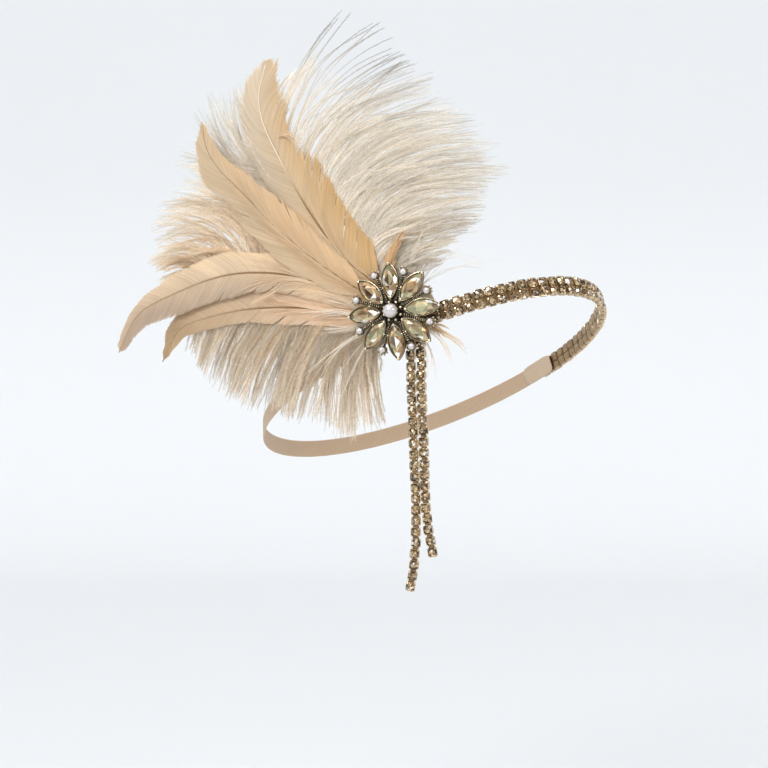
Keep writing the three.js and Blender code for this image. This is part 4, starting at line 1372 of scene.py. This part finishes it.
def arm_metal(shape, out):
    """Adds a beaded arm in a direction, and the cup, prongs and beads of the pearl at its end."""
    aside = np.cross(UP, out)
    axes = np.array([out, aside, UP])

    def by_pearl(angle, reach, height):
        around = out * math.cos(angle) + aside * math.sin(angle)
        return out * ACCENT_REACH + around * reach + UP * height

    for step in range(ARM_BEADS):
        place = out * (ARM_BEAD_START + ARM_BEAD_PITCH * step) + UP * (ARM_HEIGHT + ARM_BEAD_RISE)
        bead(shape, place, ARM_BEAD_RADIUS, 1.0, stretch=ARM_BEAD_STRETCH, axes=axes)
    rod = turned([(ROD_RADIUS, end) for end in ROD_SPAN], ROD_SIDES)
    rod = rod[..., 2:] * out + rod[..., :1] * aside + rod[..., 1:2] * UP + UP * (ARM_HEIGHT + ROD_RISE)
    loft(shape, rod, 0.0)
    turned_part(shape, ACCENT_CUP, ACCENT_CUP_SIDES, out * ACCENT_REACH)
    for angle in turns(4) + math.pi / 4.0:
        place = by_pearl(angle, *ACCENT_PRONG)
        bead(shape, place, SMALL_BEAD_RADIUS, PRONG_POLISH, stretch=ACCENT_PRONG_STRETCH)
    for angle in ACCENT_BEAD_TURNS:
        bead(shape, by_pearl(angle, *ACCENT_BEAD), SMALL_BEAD_RADIUS, BEAD_POLISH)


def brooch_metal():
    """The soldered metal in the seat's frame."""
    shape = Shape()
    turned_part(shape, POST_PROFILE, POST_SIDES)
    tray = petal_tray()
    for index in range(PETALS):
        shape.add_copy(tray, *petal_axes(index))
        arm_metal(shape, arm_direction(index))
    for index, angle in enumerate(turns(RING_BEADS)):
        place = level_way(angle) * RING_REACH + UP * RING_HEIGHT
        bead(shape, place, RING_BEAD_RADIUS, RING_POLISH if index % 2 else 0.0)
    return shape


def pearl_ball(shape, centre, radius, sides, rings):
    """Adds a pearl, very slightly out of round."""
    bead(shape, centre, radius, 0.0, sides, rings, stretch=PEARL_STRETCH)


# Felt, tab and elastic

def felt_patch(shape, outline, place):
    """Adds a flat piece of felt: its outline in plan, and a function that puts plan points at a height."""
    scales = np.linspace(*FELT_SCALES, FELT_RINGS)
    inner = [(scale, BACKING_IN) for scale in scales]
    outer = [(scale, BACKING_OUT) for scale in scales[::-1]]
    middle = (BACKING_IN + BACKING_OUT) / 2.0
    rim = [(RIM_SCALE, BACKING_IN + RIM_ROUND), (1.0, middle), (RIM_SCALE, BACKING_OUT - RIM_ROUND)]
    rings = [place(outline * scale, height) for scale, height in inner + rim + outer]
    loft(shape, np.array(rings), 0.0)


# Feathers and plumes

def width_at(rows, column, along):
    """Half widths at distances along a shaft, between the rows of its table."""
    at = np.array([row[0] for row in rows], float)
    value = np.array([row[column] for row in rows], float)
    step = np.clip(np.searchsorted(at, along) - 1, 0, len(at) - 2)
    share = smooth_step((along - at[step]) / (at[step + 1] - at[step]))
    return mix(value[step], value[step + 1], share)


def vane_barbs(shaft, feather, side, spacing, rng):
    """Barbs of one side of a feather, (barbs, steps): distances along and beside the shaft, and tints."""
    column = 1 if side == "left" else 2
    fray = feather["fray"]
    count = int(shaft.length * (1.0 - VANE_FROM) / spacing)
    root = np.linspace(VANE_FROM, 1.0, count) * shaft.length + rng.normal(0.0, VANE_SCATTER * spacing, count)
    bundle = np.cumsum(rng.random(count) < spacing / BUNDLE_LENGTH)
    turned_by, ragged_by, tinted_by = rng.normal(0.0, 1.0, (bundle[-1] + 1, 3))[bundle].T
    closing = mix(1.0, TIP_CLOSING, smooth_step((root / shaft.length - TIP_FROM) / (1.0 - TIP_FROM)))
    turn = np.radians(mix(*feather["angles"], root / shaft.length)) * closing
    turn = turn * (1.0 + fray * RAGGED_TURN[0] * turned_by + RAGGED_TURN[1] * rng.normal(0.0, 1.0, count))
    forward = 1.0 / np.tan(turn)
    tries = np.linspace(0.0, WIDEST, WIDTH_TRIES)
    limit = width_at(feather["widths"], column, root[:, None] + tries * forward[:, None])
    width = tries[np.argmax(tries >= limit, axis=1)]
    ragged = RAGGED_REACH[0] * ragged_by + RAGGED_REACH[1] * rng.normal(0.0, 1.0, count)
    worn = 1.0 + WORN_MORE * smooth_step((root / shaft.length - WORN_FROM) / WORN_OVER)
    stray = STRAY_REACH * rng.random(count) * (rng.random(count) < STRAY_SHARE)
    width = np.maximum(width * (1.0 + fray * (worn * ragged + stray)), LEAST_REACH)
    share = np.linspace(0.0, 1.0, VANE_STEPS)
    along = root[:, None] + (width * forward)[:, None] * mix(share, share ** 2, VANE_CURVE)
    for at, where, opening in feather["splits"]:
        if where == side:
            gap = root - at
            push = np.sign(gap) * opening * np.exp(-np.abs(gap) / SPLIT_FADE)
            along = along + push[:, None] * share ** SPLIT_POWER
    tint = BUNDLE_TINT * tinted_by + BARB_TINT * rng.normal(0.0, 1.0, count)
    return along, width[:, None] * share, tint


def loose_barbs(shape, shaft, feather, seat, rng):
    """Adds long soft barbs near the base of a feather, which lie loosely over the vane."""
    count, furthest = feather["loose"]
    root = rng.uniform(LOOSE_FROM, furthest, count) * shaft.length
    side = np.where(rng.random(count) < 0.5, 1.0, -1.0)
    turn = np.radians(rng.uniform(*LOOSE_TURN_DEG, count)) * side
    length = rng.uniform(*LOOSE_LENGTH, count) * shaft.length
    share = np.linspace(0.0, 1.0, LOOSE_STEPS)
    along = root[:, None] + (length * np.cos(turn))[:, None] * share
    left = (length * np.sin(turn))[:, None] * mix(share, share ** 2, 0.5)
    plan = shaft.place(along, left)
    stand = LOOSE_LEVEL + rng.uniform(0.0, LOOSE_STAND, count)[:, None] * np.sin(math.pi * share)
    lines = raised(plan, fan_height(plan, feather["level"], feather["lift"]) + stand)
    marks = np.zeros(lines.shape)
    marks[..., 0] = rng.uniform(*LOOSE_TINT, count)[:, None]
    marks[..., 1] = 0.5
    marks[..., 2] = along / shaft.length
    body = np.broadcast_to(LOOSE_HALF * mix(1.0, LOOSE_TAPER, share ** 2), along.shape)
    facing = np.broadcast_to(seat.axes[2], lines.shape)
    ribbons(shape, seat.world(lines), body, facing, marks)


def make_vane(name, feather, shaft, seat, spacing, material, rng):
    """The two rows of barbs of a feather, which lie over each other, and its loose barbs."""
    vane = Shape()
    for side, sign, bend in (("left", 1.0, feather["bend"][0]), ("right", -1.0, feather["bend"][1])):
        along, aside, tint = vane_barbs(shaft, feather, side, spacing, rng)
        plan = shaft.place(along, sign * aside)
        height = fan_height(plan, feather["level"], feather["lift"])
        height = height - bend * (aside / BEND_AT) ** 2 + rng.normal(0.0, VANE_UNEVEN, len(tint))[:, None]
        lines = raised(plan, height)
        share = np.linspace(0.0, 1.0, VANE_STEPS)
        lean = UP + 0.0 * lines
        lean[..., :2] = -VANE_LEAN * unit(np.gradient(plan, axis=0))
        taper = mix(1.0, VANE_TAPER, share ** 3)
        body = spacing * VANE_COVER * taper * np.where(share > POINT_FROM, VANE_POINT, 1.0)
        marks = np.stack([
            np.broadcast_to(tint[:, None], along.shape), np.broadcast_to(sign * share, along.shape),
            np.clip(along / shaft.length, 0.0, 1.0)], axis=-1)
        ribbons(vane, seat.world(lines), np.broadcast_to(body, along.shape), lean @ seat.axes, marks)
    loose_barbs(vane, shaft, feather, seat, rng)
    make_piece(name + "_vane", vane, material, (name,), ALL_SMOOTH)


def make_stem(name, layer, seat, shaft, widths, material):
    """The round shaft of a feather or plume, from its half width at the brooch to that at its tip."""
    stem = Shape()
    share = np.linspace(0.0, STEM_END, STEM_STEPS)
    middle = shaft.place(share * shaft.length, 0.0 * share)
    left = left_of(unit(np.gradient(middle, axis=0)))
    half = mix(*widths, share ** STEM_POWER)
    sides = []
    for turn in turns(STEM_SIDES):
        plan = middle + left * (half * math.cos(turn))[:, None]
        bulge = half * STEM_THICKNESS * math.sin(turn) + STEM_RISE
        sides.append(raised(plan, fan_height(plan, layer["level"], layer["lift"]) + bulge))
    rings = np.swapaxes(np.array(sides), 0, 1)[:, ::-1]
    reach = smooth_step((share - QUILL_FROM) / (QUILL_TO - QUILL_FROM))
    loft(stem, seat.world(rings), 0.0, reach=reach)
    make_piece(name + "_shaft", stem, material, (), ALL_SMOOTH)


def lock_at(locks, place):
    """Values of the lock table between its rows."""
    table = np.array(locks, float)
    return np.stack([np.interp(place, np.arange(len(table)), column) for column in table.T], axis=-1)


def plume_barbs(plume, bunches, barbs, whole, rng):
    """Barbs of a plume as lines over the fan, (barbs, steps, 3), their tints, and how far they are dyed."""
    shaft = Shaft(plume["shaft"])
    locks = plume["locks"]
    spots = np.linspace(0.0, len(locks) - 1.0, LOCK_STEPS)
    filled = np.cumsum(np.interp(spots, np.arange(len(locks)), plume["fullness"]))
    place = np.interp((np.arange(bunches) + rng.random(bunches)) / bunches, filled / filled[-1], spots)
    short = rng.uniform(*SHORT_BUNCH, bunches)
    long = np.where(rng.random(bunches) < whole, rng.uniform(*LONG_BUNCH, bunches), short)
    arch = rng.normal(*BUNCH_ARCH, bunches)
    stand = rng.normal(*BUNCH_STAND, bunches)
    each = np.repeat(np.arange(bunches), barbs)
    count = len(each)
    gathered = lock_at(locks, place)[each]
    spread = lock_at(locks, place[each] + rng.normal(0.0, BUNCH_SPREAD, count))
    root = np.clip(spread[:, 0] + rng.normal(0.0, ROOT_SCATTER, count), PLUME_FROM, 1.0)
    start = shaft.place(root * shaft.length, 0.0 * root)
    reach = long[each] * rng.uniform(*BUNCH_BARB, count)
    end = mix(gathered, spread, TIP_APART)[:, 1:3] + rng.normal(0.0, TIP_SCATTER, (count, 2))
    tip = mix(start, end, reach[:, None])
    left = left_of(unit(tip - start))
    share = np.linspace(0.0, 1.0, BARB_STEPS)
    droop = 4.0 * share * (1.0 - share) * (1.0 + BARB_DROOP * (2.0 * share - 1.0))
    bow = gathered[:, 3] * arch[each] * reach * rng.normal(1.0, BOW_SCATTER, count)
    wave = np.sin(2.0 * math.pi * (BARB_WAVES * share + rng.random((count, 1)))) * share
    aside = bow[:, None] * droop + rng.normal(0.0, BARB_SWAY, count)[:, None] * wave
    plan = mix(start[:, None], tip[:, None], share[:, None]) + left[:, None] * aside[..., None]
    rise = LOCK_STAND * gathered[:, 4] + stand[each] + rng.normal(0.0, STAND_SCATTER, count)
    height = fan_height(plan, plume["level"], plume["lift"]) + rise[:, None] * share ** 2
    tint = BUNDLE_TINT * rng.normal(0.0, 1.0, bunches)[each] + BARB_TINT * rng.normal(0.0, 1.0, count)
    # Painted light from above: barbs whose tips lie higher are paler
    tint = tint + PAINTED_LIGHT_TINT * smooth_step(gathered[:, 2] / PAINTED_LIGHT_HEIGHT)
    above = smooth_step((gathered[:, 2] - DARK_FROM) / (DARK_TO - DARK_FROM))
    before = smooth_step((gathered[:, 1] - DARK_BEHIND) / (DARK_BEFORE - DARK_BEHIND))
    whole_length = smooth_step((reach - DARK_SHORT) / (DARK_LONG - DARK_SHORT))
    return raised(plan, height), tint, mix(*DYE_REACH, above * before * whole_length)


def add_barbs(shape, seat, lines, half_width, tint, tone, facing):
    """Adds barbs as ribbons that grow thinner to their tips; the tone is a third mark for each point."""
    share = np.linspace(0.0, 1.0, lines.shape[1])
    body = np.broadcast_to(half_width * mix(1.0, BARB_TAPER, share ** 3), lines.shape[:2])
    marks = np.stack([
        np.broadcast_to(tint[:, None], body.shape), np.broadcast_to(share, body.shape),
        np.broadcast_to(tone, body.shape)], axis=-1)
    around = np.broadcast_to((facing @ seat.axes)[:, None], lines.shape)
    ribbons(shape, seat.world(lines), body, around, marks)


def loose_facing(count, rng):
    """A way for each of some barbs to face, mostly outward."""
    lean = rng.normal(0.0, 0.5, (2, count))
    return unit(np.stack([*lean, np.ones(count)], axis=-1))


def make_plume(name, plume, seat, settings, seed):
    """One ostrich plume: bunches of barbs that leave the shaft and arch over, and shorter ones behind."""
    rng = np.random.default_rng(seed)
    under, root, tip = (getattr(settings, colour) for colour in plume["dyes"])
    front = barb_material(name + " strands", root, tip, PLUME_STREAK, PLUME_THROUGH)
    # The bunches behind take a darker dye: painted shade
    back = barb_material(name + " under", under, root, PLUME_STREAK, PLUME_THROUGH)
    layers = (
        ("_barbs", settings.bunches, LONG_IN_FRONT, 0.0, front, (name,)),
        ("_under", settings.under, LONG_BEHIND, BEHIND_DROP, back, ()),
    )
    share = np.linspace(0.0, 1.0, BARB_STEPS)
    for suffix, bunches, whole, level, material, nodes in layers:
        lines, tint, dyed = plume_barbs(plume, bunches, settings.barbs, whole, rng)
        lines[..., 2] += level * share
        facing = loose_facing(len(lines), rng)
        shape = Shape()
        tone = np.minimum(dyed[:, None] * share ** DYE_POWER, 1.0)
        add_barbs(shape, seat, lines, BARB_HALF, tint + SPINE_TINT, tone, facing)
        dye = dyed[:, None, None]
        barbules(shape, seat, lines, facing, tint, settings.fluff, plume["barbules"], rng, dye, DYE_POWER)
        make_piece(name + suffix, shape, material, nodes, ALL_SMOOTH)
    make_stem(name, plume, seat, Shaft(plume["shaft"]), PLUME_STEM, back)


def make_wisps(seat, material, seed):
    """Loose bunches of barbs round the brooch."""
    rng = np.random.default_rng(seed)
    shape = Shape()
    share = np.linspace(0.0, 1.0, BARB_STEPS)
    for start_x, start_y, tip_x, tip_y, bow, low, high, count, spread, pale in WISPS:
        start = np.array([start_x, start_y]) + rng.normal(0.0, WISP_START * spread, (count, 2))
        long = rng.uniform(*WISP_LENGTH, count)[:, None]
        tip = mix(start, np.array([tip_x, tip_y]) + rng.normal(0.0, spread, (count, 2)), long)
        left = left_of(unit(tip - start))
        swing = (bow * rng.normal(1.0, WISP_BOW, count))[:, None] * 4.0 * share * (1.0 - share)
        plan = mix(start[:, None], tip[:, None], share[:, None]) + left[:, None] * swing[..., None]
        uneven = rng.normal(0.0, WISP_UNEVEN, count)[:, None] * share
        lines = raised(plan, fan_height(plan, mix(low, high, share), 0.0) + uneven)
        tint = rng.normal(0.0, 1.0, count)
        facing = loose_facing(count, rng)
        add_barbs(shape, seat, lines, WISP_HALF, tint, pale, facing)
        barbules(shape, seat, lines, facing, tint, WISP_PAIRS, WISP_BARBULES, rng, pale, 0)
    make_piece("loose_wisps", shape, material, (), ALL_SMOOTH)


def barbules(shape, seat, lines, facing, tint, pairs, lengths, rng, tone, late):
    """Adds fine hairs along both sides of each barb, as slim triangles; a late tone comes near its tip."""
    count, steps, _ = lines.shape
    for side in (1.0, -1.0):
        share = np.linspace(*BARBULE_SPAN, pairs) + rng.uniform(-0.4, 0.4, (count, pairs)) / pairs
        spot = np.clip(share, 0.0, 1.0) * (steps - 1)
        low = np.minimum(spot.astype(int), steps - 2)
        part = (spot - low)[..., None]
        rows = np.arange(count)[:, None]
        base = mix(lines[rows, low], lines[rows, low + 1], part)
        along = unit(lines[rows, low + 1] - lines[rows, low])
        aside = unit(np.cross(np.broadcast_to(facing[:, None], along.shape), along)) * side
        out = aside + rng.normal(0.0, BARBULE_SCATTER, along.shape)
        reach = rng.uniform(*lengths, share.shape) * (1.0 - BARBULE_TAPER * share ** 4)
        apex = base + unit(along * BARBULE_SLANT + out) * reach[..., None]
        corners = np.stack([base - along * BARBULE_HALF, base + along * BARBULE_HALF, apex], axis=2)
        faces = np.arange(count * pairs * 3).reshape(-1, 3)
        shown = corners.shape[:3]
        last = np.minimum(tone * share[..., None] ** late, 1.0)
        own = tint[:, None] + rng.normal(0.0, BARB_TINT, share.shape)
        marks = np.stack([
            np.broadcast_to(own[..., None], shown), np.broadcast_to(share[..., None], shown),
            np.broadcast_to(last, shown)], axis=-1)
        shape.add(seat.world(corners), faces, marks.reshape(-1, 3))


# Operators

class HEADBAND_OT_band(Operator):
    """Make the two rows of stone chain round the front"""

    bl_idname = "headband.band"
    bl_label = "Stone band"

    def execute(self, context):
        loop = context.scene.headband_loop
        chain = context.scene.headband_chain
        shift = (chain.cup + chain.row_gap) / MM / 2.0
        gap = chain.row_gap / MM
        upper, lower = (band_frames(loop, chain, across) for across in (shift, -shift))
        make_chain("band_upper", upper, chain, "band_row_upper", BAND_SEEDS[0])
        make_chain("band_lower", lower, chain, "band_row_lower", BAND_SEEDS[1], reach_across=gap)
        return {"FINISHED"}


class HEADBAND_OT_strands(Operator):
    """Make the two hanging strands of stone chain"""

    bl_idname = "headband.strands"
    bl_label = "Hanging strands"

    def execute(self, context):
        seat = Seat(context.scene.headband_loop)
        chain = context.scene.headband_chain
        for seed, (name, strand) in enumerate(STRANDS.items(), STRAND_SEED):
            make_chain(name, strand_frames(seat, chain, strand), chain, name, seed)
        return {"FINISHED"}


class HEADBAND_OT_brooch(Operator):
    """Make the jewelled flower: metal, petal stones and pearls"""

    bl_idname = "headband.brooch"
    bl_label = "Brooch"

    def execute(self, context):
        seat = Seat(context.scene.headband_loop)
        brooch = context.scene.headband_brooch
        rng = np.random.default_rng(BROOCH_SEED)
        metal = Shape()
        metal.add_copy(brooch_metal(), seat.origin, seat.axes)
        antique = metal_material("Antique gold", brooch.bright, brooch.dark, grain=700.0)
        make_piece("brooch_metal", metal, antique, ("brooch_frame",), crease_deg=45.0)
        stones = Shape()
        pearls = Shape()
        for index in range(PETALS):
            place, axes = petal_axes(index)
            stones.add_copy(petal_stone(rng, PETAL_FLASHES[index]), seat.world(place), axes @ seat.axes)
            centre = arm_direction(index) * ACCENT_REACH + UP * ACCENT_HEIGHT
            pearl_ball(pearls, seat.world(centre), ACCENT_RADIUS, *ACCENT_FACES)
        glass = stone_material("Rainbow stone", brooch, metallic=0.6, flash=0.55)
        petal_nodes = [f"petal_stone_{index + 1}" for index in range(PETALS)]
        make_piece("petal_stones", stones, glass, petal_nodes)
        pearl = pearl_material(brooch.pearl)
        accent_nodes = [f"accent_pearl_{index + 1}" for index in range(PETALS)]
        make_piece("accent_pearls", pearls, pearl, accent_nodes, ALL_SMOOTH)
        middle = Shape()
        pearl_ball(middle, seat.world(UP * PEARL_HEIGHT), PEARL_RADIUS, *PEARL_FACES)
        make_piece("middle_pearl", middle, pearl, ("centre_pearl",), ALL_SMOOTH)
        return {"FINISHED"}


class HEADBAND_OT_cloth(Operator):
    """Make the elastic, the tab at its end and the felt pad under the brooch"""

    bl_idname = "headband.cloth"
    bl_label = "Elastic and felt"

    def execute(self, context):
        loop = context.scene.headband_loop
        cloth = context.scene.headband_cloth
        self.make_elastic(loop, cloth)
        felt = cloth_material("Felt", cloth.felt, scale=1800.0, depth=0.0006)
        self.make_tab(loop, felt)
        self.make_pad(loop, felt)
        return {"FINISHED"}

    def make_elastic(self, loop, cloth):
        """The ribbed woven elastic round the back."""
        shape = Shape()
        half = cloth.elastic_width / MM / 2.0
        thick = cloth.elastic_thick / MM
        across = np.linspace(-1.0, 1.0, cloth.ribs * RIB_POINTS + 1)
        bulge = RIB_LEVEL + RIB_RISE * np.cos(across * math.pi * cloth.ribs)
        bulge = bulge * (1.0 - np.abs(across) ** EDGE_POWER)
        outer = np.column_stack([across * half, thick * (0.5 + bulge)])
        inner = np.column_stack([across * half, thick * (0.5 - bulge)])[::-1]
        section = np.vstack([outer, inner[1:-1]])
        rings = []
        for degrees in np.linspace(*ELASTIC_SPAN, ELASTIC_STEPS):
            point, axes, _ = loop_frame(loop, degrees, BAND_OUT)
            rings.append(point + section[:, :1] * axes[1] + section[:, 1:] * axes[2])
        loft(shape, np.array(rings)[:, ::-1], 0.0)
        weave = cloth_material("Woven elastic", cloth.elastic, scale=2600.0, depth=0.0003)
        make_piece("ribbed_elastic", shape, weave, ("back_elastic",), crease_deg=50.0)

    def make_tab(self, loop, felt):
        """The tab under the join of the band and the elastic."""
        shape = Shape()
        middle = sum(TAB_SPAN) / 2.0
        stretch = loop_frame(loop, middle)[2]
        half = np.array([math.radians(TAB_SPAN[1] - TAB_SPAN[0]) * stretch / 2.0, TAB_HALF_WIDTH])

        def on_loop(plan, height):
            placed = []
            for along, across in plan:
                point, axes, _ = loop_frame(loop, middle + math.degrees(along / stretch), height)
                placed.append(point + axes[1] * across)
            return np.array(placed)

        felt_patch(shape, square_outline(turns(FELT_SIDES), TAB_CORNER) * half, on_loop)
        make_piece("felt_tab", shape, felt, ("end_tab",), crease_deg=60.0)

    def make_pad(self, loop, felt):
        """The round pad under the brooch, bent with the loop."""
        shape = Shape()
        seat = Seat(loop)
        sweep = np.linspace(-PAD_SWEEP_DEG, PAD_SWEEP_DEG, PAD_STEPS) + SEAT_DEG

        def on_wall(plan, height):
            wall = np.array([point + out * height for point, out in (loop_plan(loop, d) for d in sweep)])
            wall = seat.local(wall)
            depth = np.interp(plan[:, 0], wall[:, 0], wall[:, 2])
            return seat.world(np.column_stack([plan, depth]))

        felt_patch(shape, round_outline(turns(FELT_SIDES)) * PAD_RADIUS, on_wall)
        make_piece("felt_disc", shape, felt, ("felt_pad",), crease_deg=60.0)


class HEADBAND_OT_feathers(Operator):
    """Make the trimmed feathers behind the brooch"""

    bl_idname = "headband.feathers"
    bl_label = "Feathers"

    def execute(self, context):
        seat = Seat(context.scene.headband_loop)
        dye = context.scene.headband_feathers
        for number, (name, feather) in enumerate(FEATHERS.items()):
            rng = np.random.default_rng(dye.seed + number)
            base, outer = (getattr(dye, colour) for colour in feather["dyes"])
            tip = getattr(dye, feather["quill"])
            # Each vane takes painted light and shade on its two sides, and a painted shadow right of its
            # shaft
            vane = barb_material(
                name + " dye", base, outer, streak=0.06, through=0.28, lit_side=feather["lit"], painted_shaft_shadow=0.4)
            quill = barb_material(name + " shaft", dye.shaft_base, tip, streak=0.05, through=0.1)
            shaft = Shaft(feather["shaft"])
            make_vane(name, feather, shaft, seat, dye.spacing / MM, vane, rng)
            make_stem(name, feather, seat, shaft, FEATHER_STEM, quill)
        return {"FINISHED"}


class HEADBAND_OT_plumes(Operator):
    """Make the ostrich plumes behind the feathers"""

    bl_idname = "headband.plumes"
    bl_label = "Plumes"

    def execute(self, context):
        seat = Seat(context.scene.headband_loop)
        settings = context.scene.headband_plumes
        for number, (name, plume) in enumerate(PLUMES.items()):
            make_plume(name, plume, seat, settings, settings.seed + number)
        gold = context.scene.headband_feathers.gold
        wisp = barb_material("Wisps", gold, settings.upright_root, streak=0.08, through=0.3)
        make_wisps(seat, wisp, settings.seed + len(PLUMES))
        return {"FINISHED"}


class HEADBAND_OT_stage(Operator):
    """Make the floor, the backdrop, the lights and the camera"""

    bl_idname = "headband.stage"
    bl_label = "Stage"

    def execute(self, context):
        stage = context.scene.headband_stage
        ahead = np.array([-math.sin(stage.turn), math.cos(stage.turn), 0.0])
        right = np.array([math.cos(stage.turn), math.sin(stage.turn), 0.0])
        axes = np.array([ahead, right, UP])
        self.make_paper(context, stage, axes)
        self.make_camera(context, stage)
        self.make_lights(context, stage, axes)
        self.make_room(context, stage, axes)
        return {"FINISHED"}

    def make_paper(self, context, stage, axes):
        """Floor and backdrop from one curved sheet of paper."""
        ahead, right, up = axes
        profile = [(PAPER_FRONT, 0.0)]
        for swing in np.linspace(0.0, math.pi / 2.0, BEND_POINTS):
            far = PAPER_WALL - PAPER_BEND + PAPER_BEND * math.sin(swing)
            profile.append((far, PAPER_BEND - PAPER_BEND * math.cos(swing)))
        profile.append((PAPER_WALL, PAPER_TOP))
        sides = (-PAPER_HALF_WIDTH, PAPER_HALF_WIDTH)
        rows = [[ahead * far + up * (high - stage.drop) + right * side for side in sides]
                for far, high in profile]
        points = [tuple(point) for row in rows for point in row]
        faces = [(2 * k, 2 * k + 1, 2 * k + 3, 2 * k + 2) for k in range(len(rows) - 1)]
        mesh = bpy.data.meshes.new("paper")
        mesh.from_pydata(points, [], faces)
        mesh.shade_smooth()
        material, tree, shader = new_material("Backdrop paper", {"Roughness": 0.9, "Specular IOR Level": 0.1})
        shade = tuple(np.array(stage.paper) * PAPER_SHADE)
        uneven = blended(tree, noise(tree, 3.0, 2.0), opaque(stage.paper), opaque(shade))
        tree.links.new(uneven, shader["Base Color"])
        mesh.materials.append(material)
        paper = bpy.data.objects.new("paper", mesh)
        context.scene.collection.objects.link(paper)

    def make_camera(self, context, stage):
        """The camera at the photograph's angle."""
        data = bpy.data.cameras.new("camera")
        data.lens = stage.lens
        data.sensor_width = SENSOR_WIDTH
        camera = bpy.data.objects.new("camera", data)
        camera.location = stage.stand
        camera.rotation_euler = (math.pi / 2.0, 0.0, stage.turn)
        context.scene.collection.objects.link(camera)
        context.scene.camera = camera

    def make_lights(self, context, stage, axes):
        """A broad soft key from above, and small lamps for the stones' glints."""
        key = self.add_light(context, "key", "SUN", KEY_PLACE @ axes, stage.key)
        key.angle = math.radians(KEY_SPREAD_DEG)
        for name, (place, size) in GLINTS.items():
            self.add_light(context, name, "AREA", place @ axes, stage.glint).size = size

    def add_light(self, context, name, kind, place, power):
        """A light that shines at the middle of the loop; its data."""
        data = bpy.data.lights.new(name, kind)
        data.energy = power
        light = bpy.data.objects.new(name, data)
        light.location = place
        light.rotation_euler = Vector(-place).to_track_quat("-Z", "Y").to_euler()
        context.scene.collection.objects.link(light)
        return data

    def make_room(self, context, stage, axes):
        """Soft uneven light from all round, brighter on the key's side, with small bright panes."""
        world = bpy.data.worlds.new("soft room")
        world.use_nodes = True
        context.scene.world = world
        context.scene.view_settings.view_transform = "Standard"
        tree = world.node_tree
        room = tree.nodes["Background"]
        room.inputs["Color"].default_value = ROOM_TINT
        way = node(tree, "ShaderNodeTexCoord").outputs["Generated"]
        facing = node(tree, "ShaderNodeVectorMath", operation="DOT_PRODUCT")
        connect(tree, facing.inputs[0], way)
        connect(tree, facing.inputs[1], tuple(unit(KEY_PLACE @ axes)))
        sides = (stage.sky_dark, stage.sky_bright)
        strength = ranged(tree, facing.outputs["Value"], (-1.0, 1.0), sides)
        clouds = node(tree, "ShaderNodeTexNoise", {"Vector": way, "Scale": CLOUD_SCALE, "Detail": 2.0})
        uneven = ranged(tree, clouds.outputs["Fac"], CLOUD_NOISE, CLOUD_LIGHT)
        spots = node(tree, "ShaderNodeTexNoise", {"Vector": way, "Scale": PANE_SCALE, "Detail": 0.0})
        shine = ranged(tree, spots.outputs["Fac"], PANE_NOISE, (0.0, stage.panes))
        soft = worked(tree, "MULTIPLY", strength, uneven)
        connect(tree, room.inputs["Strength"], worked(tree, "ADD", soft, shine))


class HEADBAND_PT_tools(Panel):
    """The headband's pieces in the sidebar"""

    bl_label = "Headband"
    bl_idname = "HEADBAND_PT_tools"
    bl_space_type = "VIEW_3D"
    bl_region_type = "UI"
    bl_category = "Headband"

    def draw(self, context):
        for operator in OPERATORS:
            self.layout.operator(operator.bl_idname)


OPERATORS = (
    HEADBAND_OT_stage, HEADBAND_OT_band, HEADBAND_OT_cloth, HEADBAND_OT_brooch, HEADBAND_OT_strands,
    HEADBAND_OT_feathers, HEADBAND_OT_plumes,
)
SETTINGS = {
    "headband_loop": HeadbandLoop,
    "headband_chain": HeadbandChain,
    "headband_brooch": HeadbandBrooch,
    "headband_feathers": HeadbandFeathers,
    "headband_plumes": HeadbandPlumes,
    "headband_cloth": HeadbandCloth,
    "headband_stage": HeadbandStage,
}


def register():
    for name, group in SETTINGS.items():
        bpy.utils.register_class(group)
        setattr(bpy.types.Scene, name, PointerProperty(type=group))
    for tool in (*OPERATORS, HEADBAND_PT_tools):
        bpy.utils.register_class(tool)


def unregister():
    for tool in (HEADBAND_PT_tools, *reversed(OPERATORS)):
        bpy.utils.unregister_class(tool)
    for name, group in reversed(SETTINGS.items()):
        delattr(bpy.types.Scene, name)
        bpy.utils.unregister_class(group)


def main():
    register()
    bpy.ops.headband.stage()
    bpy.ops.headband.band()
    bpy.ops.headband.cloth()
    bpy.ops.headband.brooch()
    bpy.ops.headband.strands()
    bpy.ops.headband.feathers()
    bpy.ops.headband.plumes()


if __name__ == "__main__":
    main()
